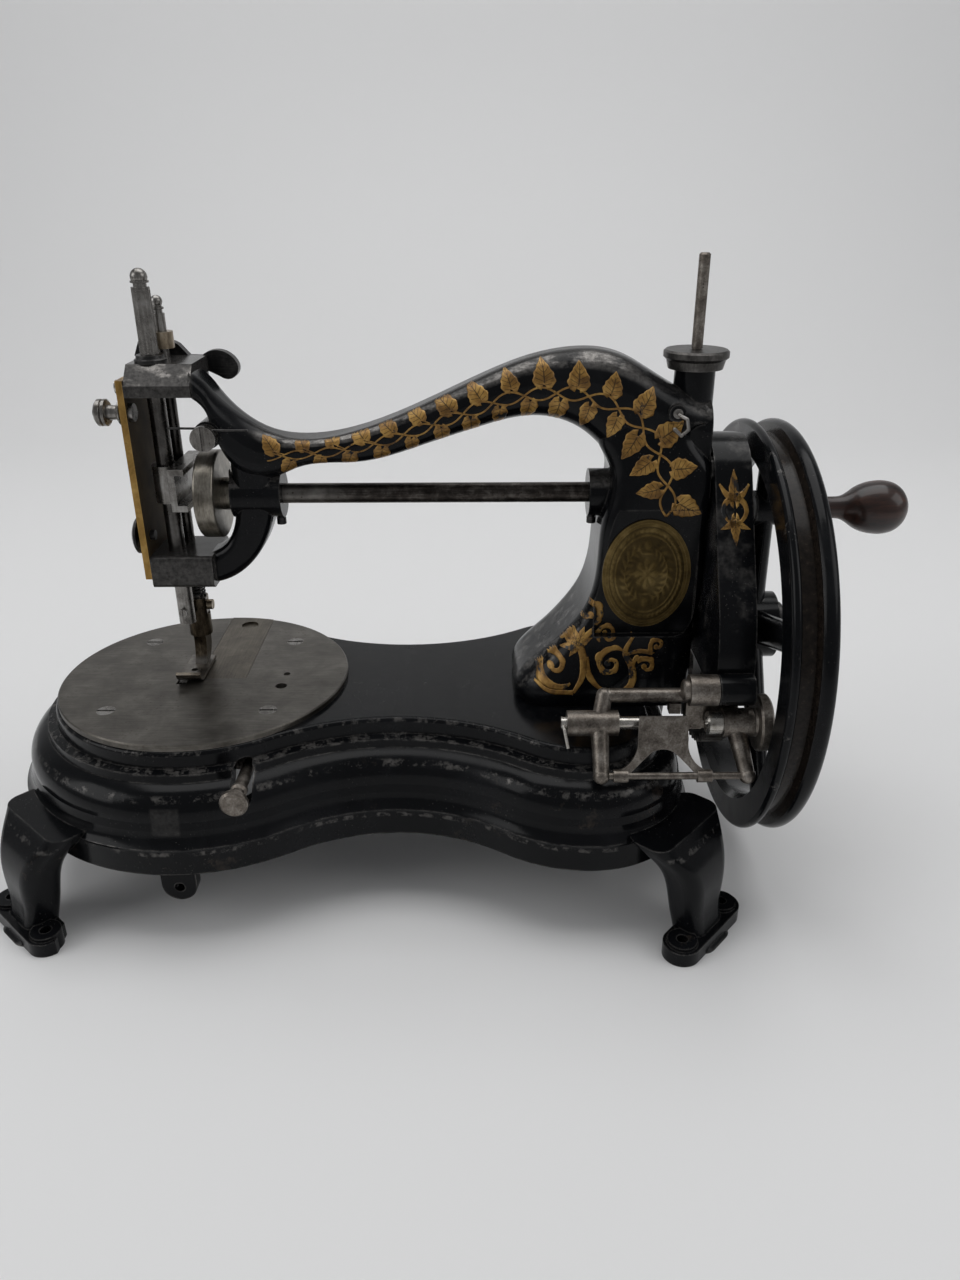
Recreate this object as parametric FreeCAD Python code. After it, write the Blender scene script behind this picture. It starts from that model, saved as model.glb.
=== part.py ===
import FreeCAD, Part
import math
import os

# Antique hand-crank sewing machine. Millimetres, +X towards the hand wheel,
# +Y away from the person sewing, +Z up, origin on the floor under the middle.

# Fits and walls
run_gap = 0.05          # radial clearance of a turning or sliding fit
clear_gap = 0.35        # open space between pieces that pass each other
seat_gap = 0.02         # radial clearance of a fixed pin in its hole
sliver = 0.04           # play under a sliding plate

# Bed plan and section
plate_x = -105.5
plate_radius = 61.3
plate_thickness = 2.5
bed_top = 77.5
bed_plate_wall = 5.0
left_lobe_radius = 62.5
waist_half_width = 36.0
right_lobe_x = 57.0
right_lobe_half_width = 61.0
right_lobe_radius = 40.0
right_corner_radius = 26.0
ledge_height = 70.2
torus_top = 66.8
bead_height = 51.2
skirt_top = 44.6
skirt_bottom = 33.0
skirt_offset = 16.5
bed_wall = 4.0
plate_opening_radius = 54.0
plate_screw_offset = 33.0
arm_bolt_places = [(45, 0), (70, -12), (70, 12)]

# Legs and feet
left_foot_x = -169.14
left_foot_y = 70.0
right_foot_x = 102.5
right_foot_y = 75.5
foot_height = 6.0
ear_offset = 15.0
ear_radius = 7.5
ear_hole_radius = 2.2
lug_width = 14.0
lug_bottom = 14.5

# Arm, head and upper shaft
shaft_z = 161.4
shaft_radius = 4.0
shaft_boss_radius = 9.5
left_boss_left = -84.5
left_boss_right = -64.5
right_boss_left = 57.8
arm_half_thickness = 11.0
pillar_right = 103.0
pillar_half_width = 21.0
head_left = -118.75
head_right = -93.75
head_front = -12.0
head_rear = 17.0
head_top = 213.0
head_block_bottom = 201.7
jaw_bottom = 125.0
jaw_top = 138.3
post_x = 96.9
post_top = 210.0
post_radius = 7.75
hook_x = 88.5
hook_y = -16.0
hook_z = 196.0
spool_pin_radius = 2.1
spool_tenon_radius = 1.7
spool_tenon_depth = 12.0
spool_pin_top = 251.0
collar_top = 217.0
collar_radius = 12.4
badge_x = 80.3
badge_z = 133.5
badge_width = 35.0
badge_height = 45.0
badge_thickness = 1.0
badge_seat = -pillar_half_width + 1.6
face_plate_thickness = 2.6
face_plate_bottom = 129.0
face_plate_top = 208.0
face_screw_places = [(head_front + 5, 205.0), (head_rear - 5, 205.0), (2.5, jaw_bottom + 7)]
set_screw_inset = 2.0
set_screw_x = (left_boss_right - set_screw_inset, right_boss_left + set_screw_inset)
set_screw_radius = 1.3
set_screw_head_radius = 1.9

# Tension, thread check and take-up
tension_y = -7.5
tension_z = 195.5
tension_nut_left = -131.5
tension_nut_width = 4.6
check_y = -6.0
check_z = 146.0
take_up_x = -89.45
take_up_z = 187.5
take_up_seat = -11.4
take_up_coil_length = 4.4

# Needle and presser bars
needle_x = -110.65
needle_bar_radius = 3.4
needle_bar_bottom = 105.0
needle_bar_top = 240.0
finial_height = 6.6
flute_start = 3.4
needle_bore_radius = 1.0
presser_x = -109.25
presser_y = 12.0
presser_radius = 2.5
presser_bar_top = 229.5
presser_clamp_top = 112.0
spring_wire = 0.5
spring_mean_radius = 3.6
spring_turns = 6
foot_height_over_plate = 0.6
foot_shank = 17.0
lifter_x = -115.0
lifter_z = 211.0
lifter_cam_radius = 6.0
lifter_lift = 6.0
lifter_angle = 60.0
lifter_thickness = 4.0
follower_radius = 1.2
follower_gap = 0.8

# Crank at the head
crank_throw = 13.0
crank_phase = 21.0
disc_radius = 17.5
disc_left = -96.75
disc_thickness = 8.0
sleeve_radius = 6.5
roller_radius = 4.0
yoke_right = -100.2
yoke_width = 6.1
yoke_wall = 2.4
yoke_half_length = 18.0

# Hand wheel, gears and guard
wheel_z = 102.9
wheel_radius = 86.0
wheel_inner_radius = 72.0
wheel_left = 120.75
wheel_width = 16.7
groove_left = 3.6
groove_width = 7.3
groove_depth = 5.0
spoke_count = 5
hub_radius = 14.0
axle_radius = 6.0
gear_module = 1.5
gear_teeth = 65
pinion_teeth = 13
gear_left = 106.5
gear_width = 8.5
guard_left = 103.6
guard_width = 14.2
guard_wall = 2.0
guard_clearance = 1.6
guard_end_z = 95.0
guard_screw_places = [(-12.0, 174.0), (12.0, 174.0), (0.0, 132.0)]
handle_radius_from_axis = 51.6
handle_length = 49.5
handle_standoff = 0.8
handle_end = wheel_left + wheel_width + handle_standoff + handle_length
handle_bulb_radius = 10.75
handle_stem_radius = 4.75
handle_bolt_radius = 2.6

# Bobbin winder
winder_y = -57.0
winder_z = 101.0
winder_barrel_radius = 6.0
winder_pin_radius = 2.5
winder_barrel_right = guard_left - clear_gap
winder_barrel_left = winder_barrel_right - 10.5
clamp_x = 89.0
spindle_y = -57.0
spindle_z = 87.0
spindle_left = 100.4
spindle_radius = 3.0
spindle_barrel_radius = 5.6
pulley_radius = 11.0
pulley_left = 118.2
pulley_width = 5.6
tail_left = 47.3
tail_barrel_length = 19.5
tail_radius = 2.5
rod_y = -69.6
rod_z = 71.2
rod_radius = 1.4
rod_left = 59.0
rod_right = 112.2
saddle_left = 64.3
saddle_width = 37.0

# Shuttle and feed works under the plate
slide_left = -108.3
slide_right = -87.5
slide_front = -4.5
race_floor = 60.0
race_front = -37.5
race_rear = 42.0
shuttle_x = -97.8
carrier_half_length = 17.0
shuttle_half_width = 6.0
shuttle_height = 10.0
lever_x = 10.0
lever_z = 52.0
lever_thickness = 4.0
drive_pin_radius = 2.0
feed_x = -114.4
feed_width = 3.4
feed_bottom = 64.0
regulator_x = -77.75
regulator_z = 65.0
regulator_y = -46.0
regulator_left = -117.0
regulator_right = -73.75
knob_front = -79.0
knob_radius = 5.4

os.makedirs("parts", exist_ok=True)
V = FreeCAD.Vector
along_x = V(1, 0, 0)
along_y = V(0, 1, 0)
along_z = V(0, 0, 1)
plate_top = bed_top + plate_thickness
nodes = {}


def rod(start, end, radius):
    line = end - start
    return Part.makeCylinder(radius, line.Length, start, line)


def taper(start, end, start_radius, end_radius):
    line = end - start
    return Part.makeCone(start_radius, end_radius, line.Length, start, line)


def ball(centre, radius):
    return Part.makeSphere(radius, centre)


def block(x0, x1, y0, y1, z0, z1):
    return Part.makeBox(x1 - x0, y1 - y0, z1 - z0, V(x0, y0, z0))


def on_xz(y):
    return lambda a, b: V(a, y, b)


def on_yz(x):
    return lambda a, b: V(x, a, b)


def on_xy(z):
    return lambda a, b: V(a, b, z)


def trace(start, steps, place):
    """A wire of lines (two numbers) and arcs (a point passed, then the end)."""
    edges = []
    here = place(*start)
    for step in steps:
        there = place(*step[-2:])
        if len(step) == 2:
            edges.append(Part.LineSegment(here, there).toShape())
        else:
            edges.append(Part.Arc(here, place(*step[:2]), there).toShape())
        here = there
    return Part.Wire(edges)


def slab(start, steps, place, push):
    return Part.Face(trace(start, steps, place)).extrude(push)


def turned(start, steps, base, axis):
    """A solid of revolution from (distance along the axis, radius) points."""
    side = along_y if abs(axis.z) > 0.5 else along_z
    profile = trace(start, steps, lambda a, r: base + axis * a + side * r)
    return Part.Face(profile).revolve(base, axis, 360)


def oval(x0, x1, y0, y1, radius, z):
    """A rectangle with round corners, as four lines and four arcs."""
    k = radius * (1 - math.sqrt(0.5))
    steps = [
        (x1 - radius, y0), (x1 - k, y0 + k, x1, y0 + radius),
        (x1, y1 - radius), (x1 - k, y1 - k, x1 - radius, y1),
        (x0 + radius, y1), (x0 + k, y1 - k, x0, y1 - radius),
        (x0, y0 + radius), (x0 + k, y0 + k, x0 + radius, y0),
    ]
    return trace((x0 + radius, y0), steps, on_xy(z))


def join(first, *others):
    return first.multiFuse(list(others)).removeSplitter()


def drill(shape, *tools):
    return shape.cut(list(tools))


def mirrored(shape):
    return shape.mirror(V(0, 0, 0), along_y)


def keep(name, *shapes):
    nodes[name] = shapes[0] if len(shapes) == 1 else Part.makeCompound(list(shapes))


def slotted_screw(head_seat, axis, head_radius, head_height, shank_radius, shank_length):
    """A cheese-head screw whose head stands on head_seat and points along axis."""
    head = rod(head_seat, head_seat + axis * head_height, head_radius)
    shank = rod(head_seat - axis * shank_length, head_seat, shank_radius)
    across = along_z if abs(axis.z) < 0.5 else along_x
    side = axis.cross(across)
    half = head_radius + 1
    thin = head_radius * 0.16
    base = head_seat + axis * (head_height * 0.55) - across * half - side * thin
    ring = [base, base + across * 2 * half, base + across * 2 * half + side * 2 * thin,
        base + side * 2 * thin]
    groove = Part.Face(Part.makePolygon(ring + [base])).extrude(axis * head_height)
    return join(head, shank).cut(groove)


# Bed outline: tangent arcs that share their centres at every offset
def waist_radius():
    """The radius that lets one waist arc touch both lobes at the waist width."""
    left = left_lobe_radius - waist_half_width
    right = right_lobe_half_width - waist_half_width
    reach = right_lobe_x - plate_x
    low = 5.0
    high = 900.0
    for _ in range(60):
        radius = (low + high) / 2
        left_run = math.sqrt(left * (left_lobe_radius + waist_half_width + 2 * radius))
        other = 2 * right_lobe_radius - right
        right_run = math.sqrt(right * (other + 2 * radius))
        if left_run + right_run > reach:
            high = radius
        else:
            low = radius
    return radius, plate_x + left_run


waist_arc, waist_x = waist_radius()
left_centre = V(plate_x, 0, 0)
waist_centre = V(waist_x, -(waist_half_width + waist_arc), 0)
lobe_centre = V(right_lobe_x, -(right_lobe_half_width - right_lobe_radius), 0)
corner_centre = V(right_lobe_x, -(right_lobe_half_width - right_corner_radius), 0)


def towards(centre, target, distance):
    return centre + (target - centre).normalize() * distance


def arc_round(centre, radius, start, end):
    middle = towards(centre, centre + (start - centre) + (end - centre), radius)
    return Part.Arc(start, middle, end).toShape()


def bed_outline(offset, z):
    """The closed plan of the bed, offset outwards from the plateau edge."""
    left = left_lobe_radius + offset
    lobe = right_lobe_radius + offset
    corner = right_corner_radius + offset
    far_left = V(plate_x - left, 0, 0)
    left_end = towards(left_centre, waist_centre, left)
    waist_end = towards(lobe_centre, waist_centre, lobe)
    front = V(right_lobe_x, lobe_centre.y - lobe, 0)
    right_end = V(right_lobe_x + corner, corner_centre.y, 0)
    half = [
        arc_round(left_centre, left, far_left, left_end),
        arc_round(waist_centre, waist_arc - offset, left_end, waist_end),
        arc_round(lobe_centre, lobe, waist_end, front),
        arc_round(corner_centre, corner, front, right_end),
    ]
    end = Part.LineSegment(right_end, V(right_end.x, -right_end.y, 0)).toShape()
    wire = Part.Wire(Part.__sortEdges__(half + [end] + [mirrored(edge) for edge in half]))
    wire.translate(V(0, 0, z))
    return wire


def bed_moulding():
    """Lip, ledge, fat torus, bead, cove and skirt, swept round the outline."""
    far_left = plate_x - left_lobe_radius
    bulge = skirt_offset - 3.5
    inner = skirt_offset - bed_wall
    under = bed_top - bed_plate_wall
    steps = [
        (-2, bed_top), (-0.6, bed_top - 0.6, 0, bed_top - 2),
        (0.5, ledge_height + 0.6), (4.2, ledge_height), (4.6, torus_top),
        (bulge - 1.6, torus_top - 5.2, bulge, bead_height + 3.2), (bulge + 0.8, bead_height),
        (skirt_offset - 1.6, skirt_top + 2.2, skirt_offset + 0.3, skirt_top),
        (skirt_offset, skirt_top - 1), (skirt_offset, skirt_bottom), (inner, skirt_bottom),
        (inner, skirt_top - 3), (bulge - bed_wall, bead_height - 1), (0, torus_top - 4), (-7, under),
        (-7, bed_top),
    ]
    profile = trace((-7, bed_top), steps, lambda d, z: V(far_left - d, 0, z))
    return bed_outline(0, bed_top).makePipeShell([profile], True, False)


def leg(foot_x, foot_y, root_x, root_y):
    """A cabriole leg on the diagonal, with a pad foot and two bolt ears."""
    out = V(foot_x - root_x, foot_y - root_y, 0).normalize()
    spread = math.degrees(math.atan2(out.y, out.x))
    stations = [
        (47, -16.5, 22, 9), (39, -10.5, 17.5, 9), (30, -6, 13.5, 8.5), (18, -4.5, 11.5, 7.5), (8, -3,
        10.5, 7), (0, 0, 11, 9)]
    wires = []
    for z, reach, half_width, half_depth in stations:
        wires.append(oval(reach - half_depth, reach + half_depth, -half_width, half_width,
            half_depth * 0.7, z))
    strap = Part.makeLoft(wires, True, False)
    pad = slab(
        (0, ear_offset + ear_radius),
        [(-ear_radius, ear_offset), (-ear_radius, -ear_offset), (0, -ear_offset - ear_radius,
        ear_radius, -ear_offset),
         (ear_radius, ear_offset), (ear_radius * 0.7071, ear_offset + ear_radius * 0.7071, 0,
         ear_offset + ear_radius)],
        on_xy(0), along_z * foot_height)
    pad = join(pad, *[rod(V(0, s * ear_offset, 0), V(0, s * ear_offset, foot_height + 1.5),
        ear_radius - 1.5) for s in (-1, 1)])
    shape = join(strap, pad)
    holes = [rod(V(0, s * ear_offset, -1), V(0, s * ear_offset, foot_height + 3),
        ear_hole_radius) for s in (-1, 1)]
    shape = drill(shape, *holes)
    shape.rotate(V(0, 0, 0), along_z, spread)
    shape.translate(V(foot_x, foot_y, 0))
    return shape


def bed_casting():
    under = bed_top - bed_plate_wall
    deck = Part.Face(bed_outline(-3, under)).extrude(along_z * bed_plate_wall)
    corner_y = right_lobe_half_width - right_corner_radius
    front_left = leg(left_foot_x, -left_foot_y, plate_x, 0)
    front_right = leg(right_foot_x, -right_foot_y, right_lobe_x, -corner_y)
    lug_x = plate_x - 0.2
    lug = slab(
        (lug_x - lug_width / 2, torus_top - 3),
        [(lug_x - lug_width / 2, lug_bottom + lug_width / 2), (lug_x, lug_bottom,
        lug_x + lug_width / 2, lug_bottom + lug_width / 2),
         (lug_x + lug_width / 2, torus_top - 3), (lug_x - lug_width / 2, torus_top - 3)],
        on_xz(-plate_radius - 9.5), along_y * 5)
    lug = lug.cut(rod(V(lug_x, -90, lug_bottom + 6), V(lug_x, -50, lug_bottom + 6), 2))
    shape = join(bed_moulding(), deck, front_left, front_right, mirrored(front_left),
        mirrored(front_right), lug)
    opening = rod(V(plate_x, 0, under - 1), V(plate_x, 0, bed_top + 1), plate_opening_radius)
    corners = [V(plate_x + sx * plate_screw_offset, sy * plate_screw_offset, 0) for sx in (-1,
        1) for sy in (-1, 1)]
    lugs = [rod(p + along_z * (under - 2), p + along_z * (bed_top + 2), 8) for p in corners]
    opening = opening.cut(lugs)
    screw_holes = [rod(p + along_z * (under - 3), p + along_z * (bed_top + 1),
        1.9 + seat_gap) for p in corners]
    slot_half = 4.0
    slot = slab(
        (regulator_x - slot_half, regulator_z - 4), [(regulator_x, regulator_z - 4 - slot_half,
        regulator_x + slot_half, regulator_z - 4),
         (regulator_x + slot_half, regulator_z + 3), (regulator_x, regulator_z + 3 + slot_half,
         regulator_x - slot_half, regulator_z + 3),
         (regulator_x - slot_half, regulator_z - 4)],
        on_xz(-90), along_y * (regulator_y + 90))
    bolt_holes = [rod(V(x, y, under - 1), V(x, y, bed_top + 1), 3 + seat_gap) for x,
        y in arm_bolt_places]
    stud_hole = rod(V(lever_x, 0, under - 1), V(lever_x, 0, bed_top - 1.5), 3 + seat_gap)
    return drill(shape, opening, slot, stud_hole, *(screw_holes + bolt_holes))


def arm_sections():
    """Upright sections along the swan-neck arm: place, top, bottom, half thickness."""
    t = arm_half_thickness
    return [
        (-94.5, 210.5, 200.5, t), (-88, 204, 187, t), (-81, 196, 172, t), (-70, 188.3, 168, t - 1),
        (-57, 184.7, 173.3, t - 1.5), (-33, 187.8, 175.5, t - 1), (-9, 196.8, 181.5, t - 0.5),
        (15, 207.8, 189, t), (35, 215.3, 193, t + 1), (55, 218, 187, t + 2.5), (70, 214.8, 172, t + 4),
        (84, 206.8, 165, t + 4), (pillar_right, 199, 165, t + 2)]


def arm_loft():
    wires = []
    for x, top, bottom, half in arm_sections():
        wire = oval(-half, half, bottom, top, min(half * 0.8, (top - bottom) * 0.42), 0)
        wire.rotate(V(0, 0, 0), along_x, 90)
        wire.rotate(V(0, 0, 0), along_z, 90)
        wire.translate(V(x, 0, 0))
        wires.append(wire)
    return Part.makeLoft(wires, True, False)


def pillar_loft():
    """Level sections up the pillar: height, left, right, half width."""
    w = pillar_half_width
    levels = [
        (bed_top, 29.5, 79, w + 6, 16), (bed_top + 4.5, 28.6, 80, w + 7, 16), (90, 32.5, 86, w + 5.5,
        15), (98, 41, 93, w + 3.5, 12),
        (107, 49.5, 99, w + 2, 9), (117, 56.5, pillar_right, w + 1, 7), (133, 61, pillar_right + 1, w,
        6.5),
        (155, 62.8, pillar_right + 1, w - 1, 6.5), (176, 64.2, pillar_right + 1, w - 3.5, 7), (192,
        66, pillar_right, w - 6, 7)]
    wires = [oval(x0, x1, -half, half, radius, z) for z, x0, x1, half, radius in levels]
    beyond = block(pillar_right, pillar_right + 20, -60, 60, bed_top - 1, 220)
    return Part.makeLoft(wires, True, False).cut(beyond)


def head_neck():
    """The C-shaped neck from the arm, past the shaft bearing, to the lower jaw."""
    half_depth = -head_front - 3.5
    stations = [
        (-75.6, 178, 0, 8), (-75.4, 163, 0, 8), (-78, 147.5, 20, 7), (-85.5, 136.5, 52, 6.4),
        (head_right - 5, 131.5, 85, 6.2)]
    wires = []
    for x, z, lean, half in stations:
        wire = oval(-half, half, -half_depth, half_depth, half * 0.6, 0)
        wire.rotate(V(0, 0, 0), along_y, lean)
        wire.translate(V(x, 0, z))
        wires.append(wire)
    return Part.makeLoft(wires, True, False)


def head_block():
    """The worn top block, bevelled towards the person sewing."""
    x0 = head_left
    x1 = head_right
    bevel = 7.0
    steps = [
        (head_front, head_top - bevel), (head_front + bevel, head_top), (head_rear, head_top),
        (head_rear, head_block_bottom),
        (head_front, head_block_bottom)]
    upper = slab((head_front, head_block_bottom), steps, on_yz(x0), along_x * (x1 - x0))
    lower = block(x0, x1, head_front, head_rear, jaw_bottom, jaw_top)
    lower = lower.makeFillet(2.0, [e for e in lower.Edges if abs(e.tangentAt(0).x) > 0.9])
    boss = rod(V(lifter_x, 8, lifter_z), V(lifter_x, head_rear, lifter_z), 3.7)
    return join(upper, boss), lower


def arm_casting():
    upper, lower = head_block()
    left_boss = rod(V(left_boss_left, 0, shaft_z), V(left_boss_right, 0, shaft_z), shaft_boss_radius)
    right_boss = rod(V(right_boss_left, 0, shaft_z), V(badge_x, 0, shaft_z), shaft_boss_radius)
    post_base = post_top - 28
    post = turned(
        (0, 0), [(0, post_radius - 2.8), (10, post_radius), (28, post_radius), (28, 0), (0, 0)],
        V(post_x, 0, post_base), along_z)
    hook_boss = rod(V(hook_x, 0, hook_z), V(hook_x, hook_y, hook_z), 3.2)
    take_up_boss = rod(V(take_up_x, take_up_seat, take_up_z), V(take_up_x, 6, take_up_z), 5.2)
    shape = join(arm_loft(), pillar_loft(), head_neck(), upper, lower, left_boss, right_boss, post,
        hook_boss, take_up_boss)
    flat = block(badge_x - 20, badge_x + 20, -60, badge_seat, badge_z - 26, badge_z + 26)
    shaft_bore = rod(V(-100, 0, shaft_z), V(pillar_right + 5, 0, shaft_z), shaft_radius + run_gap)
    needle_bore = rod(V(needle_x, 0, 100), V(needle_x, 0, 230), needle_bar_radius + run_gap)
    presser_bore = rod(V(presser_x, presser_y, 100), V(presser_x, presser_y, 230),
        presser_radius + run_gap)
    pin_bore = rod(V(post_x, 0, post_top - spool_tenon_depth), V(post_x, 0, post_top + 5),
        spool_tenon_radius + seat_gap)
    axle_bore = rod(V(80, 0, wheel_z), V(pillar_right + 5, 0, wheel_z), axle_radius + seat_gap)
    lifter_bore = rod(V(lifter_x, 6, lifter_z), V(lifter_x, head_rear + 3, lifter_z), 2 + seat_gap)
    take_up_bore = rod(V(take_up_x, -30, take_up_z), V(take_up_x, 2, take_up_z), 2.4 + seat_gap)
    bolt_bores = [rod(V(x, y, bed_top - 1), V(x, y, bed_top + 12), 3 + seat_gap) for x,
        y in arm_bolt_places]
    tools = [flat, shaft_bore, needle_bore, presser_bore, pin_bore, axle_bore, lifter_bore,
        take_up_bore]
    tools += bolt_bores + set_screw_bores() + face_screw_bores() + guard_screw_bores()
    return drill(shape, *tools)


def set_screw_bores():
    return [rod(V(x, 0, shaft_z), V(x, 0, shaft_z - 20),
        set_screw_radius + seat_gap) for x in set_screw_x]


def set_screws():
    screws = []
    for x in set_screw_x:
        top = V(x, 0, shaft_z - shaft_radius - 1.2)
        seat = V(x, 0, shaft_z - shaft_boss_radius - 0.6)
        screws.append(slotted_screw(seat, along_z * -1, set_screw_head_radius, 2.6, set_screw_radius,
            top.z - seat.z))
    return screws


def face_screw_bores():
    return [rod(V(head_left - 1, y, z), V(head_left + 4.2, y, z), 1.3 + seat_gap) for y,
        z in face_screw_places]


def guard_screw_bores():
    return [rod(V(pillar_right - 8, y, z), V(pillar_right + 2, y, z), 1.6 + seat_gap) for y,
        z in guard_screw_places]


# Stitch plate, slide and shuttle works
def plate_holes():
    corners = [V(plate_x + sx * plate_screw_offset, sy * plate_screw_offset, 0) for sx in (-1,
        1) for sy in (-1, 1)]
    return corners


def stitch_plate():
    disc = rod(V(plate_x, 0, bed_top), V(plate_x, 0, plate_top), plate_radius)
    rim = [e for e in disc.Edges if e.Closed and abs(e.CenterOfMass.z - plate_top) < 0.01]
    disc = disc.makeChamfer(0.5, rim)
    tools = [block(slide_left, slide_right, slide_front, plate_radius + 5, bed_top - 1, plate_top + 1)]
    tools.append(rod(V(needle_x, 0, bed_top - 1), V(needle_x, 0, plate_top + 1), 1.2))
    tools.append(block(feed_x - feed_width / 2 - clear_gap, feed_x + feed_width / 2 + clear_gap, -10,
        6.5, bed_top - 1, plate_top + 1))
    tools.append(rod(V(plate_x + 35.1, -0.6, bed_top - 1), V(plate_x + 35.1, -0.6, plate_top + 1), 1.5))
    tools.append(rod(V(plate_x + 34.6, -11.9, bed_top - 1), V(plate_x + 34.6, -11.9, plate_top + 1),
        2.5))
    for p in plate_holes():
        tools.append(rod(p + along_z * (bed_top - 1), p + along_z * (plate_top + 1), 1.9 + seat_gap))
        tools.append(rod(p + along_z * (plate_top - 1.2), p + along_z * (plate_top + 1),
            3.7 + seat_gap))
    return drill(disc, *tools)


def plate_screws():
    screws = []
    for p in plate_holes():
        screws.append(slotted_screw(p + along_z * (plate_top - 1.2), along_z, 3.7, 1.2, 1.9,
            plate_thickness + bed_plate_wall - 0.5))
    return screws


def slide_plate():
    x0 = slide_left + clear_gap / 2
    x1 = slide_right - clear_gap / 2
    sheet = block(x0, x1, slide_front + clear_gap / 2, plate_radius + 5, bed_top + sliver, plate_top)
    sheet = sheet.common(rod(V(plate_x, 0, bed_top), V(plate_x, 0, plate_top), plate_radius))
    notch = rod(V((x0 + x1) / 2, plate_radius - 9, plate_top - 1), V((x0 + x1) / 2, plate_radius - 9,
        plate_top + 1), 4)
    return sheet.cut(notch)


def shuttle_race():
    left_wall = block(slide_left - 0.9, slide_left + 1.4, race_front, race_rear, race_floor, bed_top)
    right_wall = block(slide_right - 1.1, slide_right + 1.3, race_front, race_rear, race_floor, bed_top)
    floor = block(slide_left - 0.9, slide_right + 1.3, race_front, race_rear, race_floor,
        race_floor + 2.5)
    front = block(slide_left - 3, slide_right + 1.3, race_front - 4, race_front + 2, race_floor, bed_top)
    rear = block(slide_left - 3, slide_right + 4, race_rear - 2, race_rear + 3, race_floor, bed_top)
    pin_way = drive_pin_radius + clear_gap
    slot = block(shuttle_x - pin_way, shuttle_x + pin_way, -22, 22, race_floor - 1, race_floor + 4)
    return join(left_wall, right_wall, floor, front, rear).cut(slot)


def shuttle_carrier():
    base = race_floor + 2.5 + sliver
    x0 = slide_left + 1.4 + clear_gap
    x1 = slide_right - 1.1 - clear_gap
    n = carrier_half_length
    bed = block(x0, x1, -n, n, base, base + 2.4)
    front = block(x0 + 2, x1 - 2, -n, -n + 2.2, base, base + 10)
    rear = block(x0 + 2, x1 - 2, n - 2.2, n, base, base + 10)
    pin = rod(V(shuttle_x, 0, lever_z + 0.5), V(shuttle_x, 0, base + 1), drive_pin_radius)
    return join(bed, front, rear, pin)


def shuttle():
    base = race_floor + 2.5 + sliver + 2.4
    tip = carrier_half_length - 2.2
    steps = [(shuttle_x + shuttle_half_width, 0, shuttle_x, tip), (shuttle_x - shuttle_half_width, 0,
        shuttle_x, -tip)]
    hull = slab((shuttle_x, -tip), steps, on_xy(base), along_z * shuttle_height)
    well = block(shuttle_x - 3.6, shuttle_x + 3.6, -9.6, 9.6, base + 1.6, base + shuttle_height + 1)
    points = rod(V(shuttle_x, -10.8, base + 5.6), V(shuttle_x, 10.8, base + 5.6), 0.8 + run_gap)
    return drill(hull, well, points)


def bobbin():
    centre = V(shuttle_x, -10.6, race_floor + 2.5 + sliver + 2.4 + 5.6)
    steps = [
        (0, 0.8), (1.4, 0.8), (1.4, 3.2), (2.6, 3.2), (2.6, 1.5), (18.6, 1.5), (18.6, 3.2), (19.8,
        3.2), (19.8, 0.8),
        (21.2, 0.8), (21.2, 0), (0, 0)]
    return turned((0, 0), steps, centre, along_y)


def shuttle_lever():
    tail = 34.0
    hub = rod(V(lever_x, 0, lever_z - 2), V(lever_x, 0, lever_z + lever_thickness + 2), 9)
    end = shuttle_x - 7
    steps = [
        (lever_x - 4, -7), (lever_x + tail - 6, -5), (lever_x + tail, 0, lever_x + tail - 6, 5),
        (lever_x - 4, 7), (end + 4, 5.5),
        (end, 0, end + 4, -5.5)]
    arm = slab((end + 4, -5.5), steps, on_xy(lever_z), along_z * lever_thickness)
    way = drive_pin_radius + clear_gap
    fork = block(shuttle_x - 4, shuttle_x + 4, -way, way, lever_z - 5, lever_z + 10)
    bore = rod(V(lever_x, 0, lever_z - 5), V(lever_x, 0, lever_z + 10), 3 + run_gap)
    drive = rod(V(lever_x + tail - 9, 0, lever_z - 5), V(lever_x + tail - 9, 0, lever_z + 10), 2.2)
    return drill(join(hub, arm), fork, bore, drive)


def shuttle_stud():
    steps = [
        (0, 7), (-3, 7), (-3, 3), (-3 - lever_thickness - 4.1, 3), (-3 - lever_thickness - 4.1, 5.5),
        (lever_z - 5.05 - bed_top + bed_plate_wall, 5.5), (lever_z - 5.05 - bed_top + bed_plate_wall,
        3),
        (lever_z - 5.05 - bed_top + 1.5, 3), (lever_z - 5.05 - bed_top + 1.5, 0), (0, 0)]
    return turned((0, 0), steps, V(lever_x, 0, lever_z - 5.05), along_z * -1)


def feed_bar():
    x0 = feed_x - feed_width / 2
    x1 = feed_x + feed_width / 2
    bar = block(x0, x1, -38, 22, feed_bottom, feed_bottom + 7)
    top = plate_top - 0.4
    steps = [(-7.5, top)]
    pitch = 11.5 / 6
    for tooth in range(6):
        y = -7.5 + tooth * pitch
        steps += [(y + pitch * 0.7, top - 0.9), (y + pitch, top)]
    steps += [(4, feed_bottom + 6), (-7.5, feed_bottom + 6)]
    dog = slab((-7.5, feed_bottom + 6), steps, on_yz(x0), along_x * feed_width)
    return join(bar, dog)


def feed_guides():
    guides = []
    x0 = feed_x - feed_width / 2
    x1 = feed_x + feed_width / 2
    for y in (-34, 12):
        frame = block(x0 - 3, x1 + 2.2, y, y + 6, feed_bottom - 3, bed_top)
        way = block(x0 - run_gap, x1 + run_gap, y - 1, y + 7, feed_bottom - run_gap,
            feed_bottom + 7 + run_gap)
        guides.append(frame.cut(way))
    return guides


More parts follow.
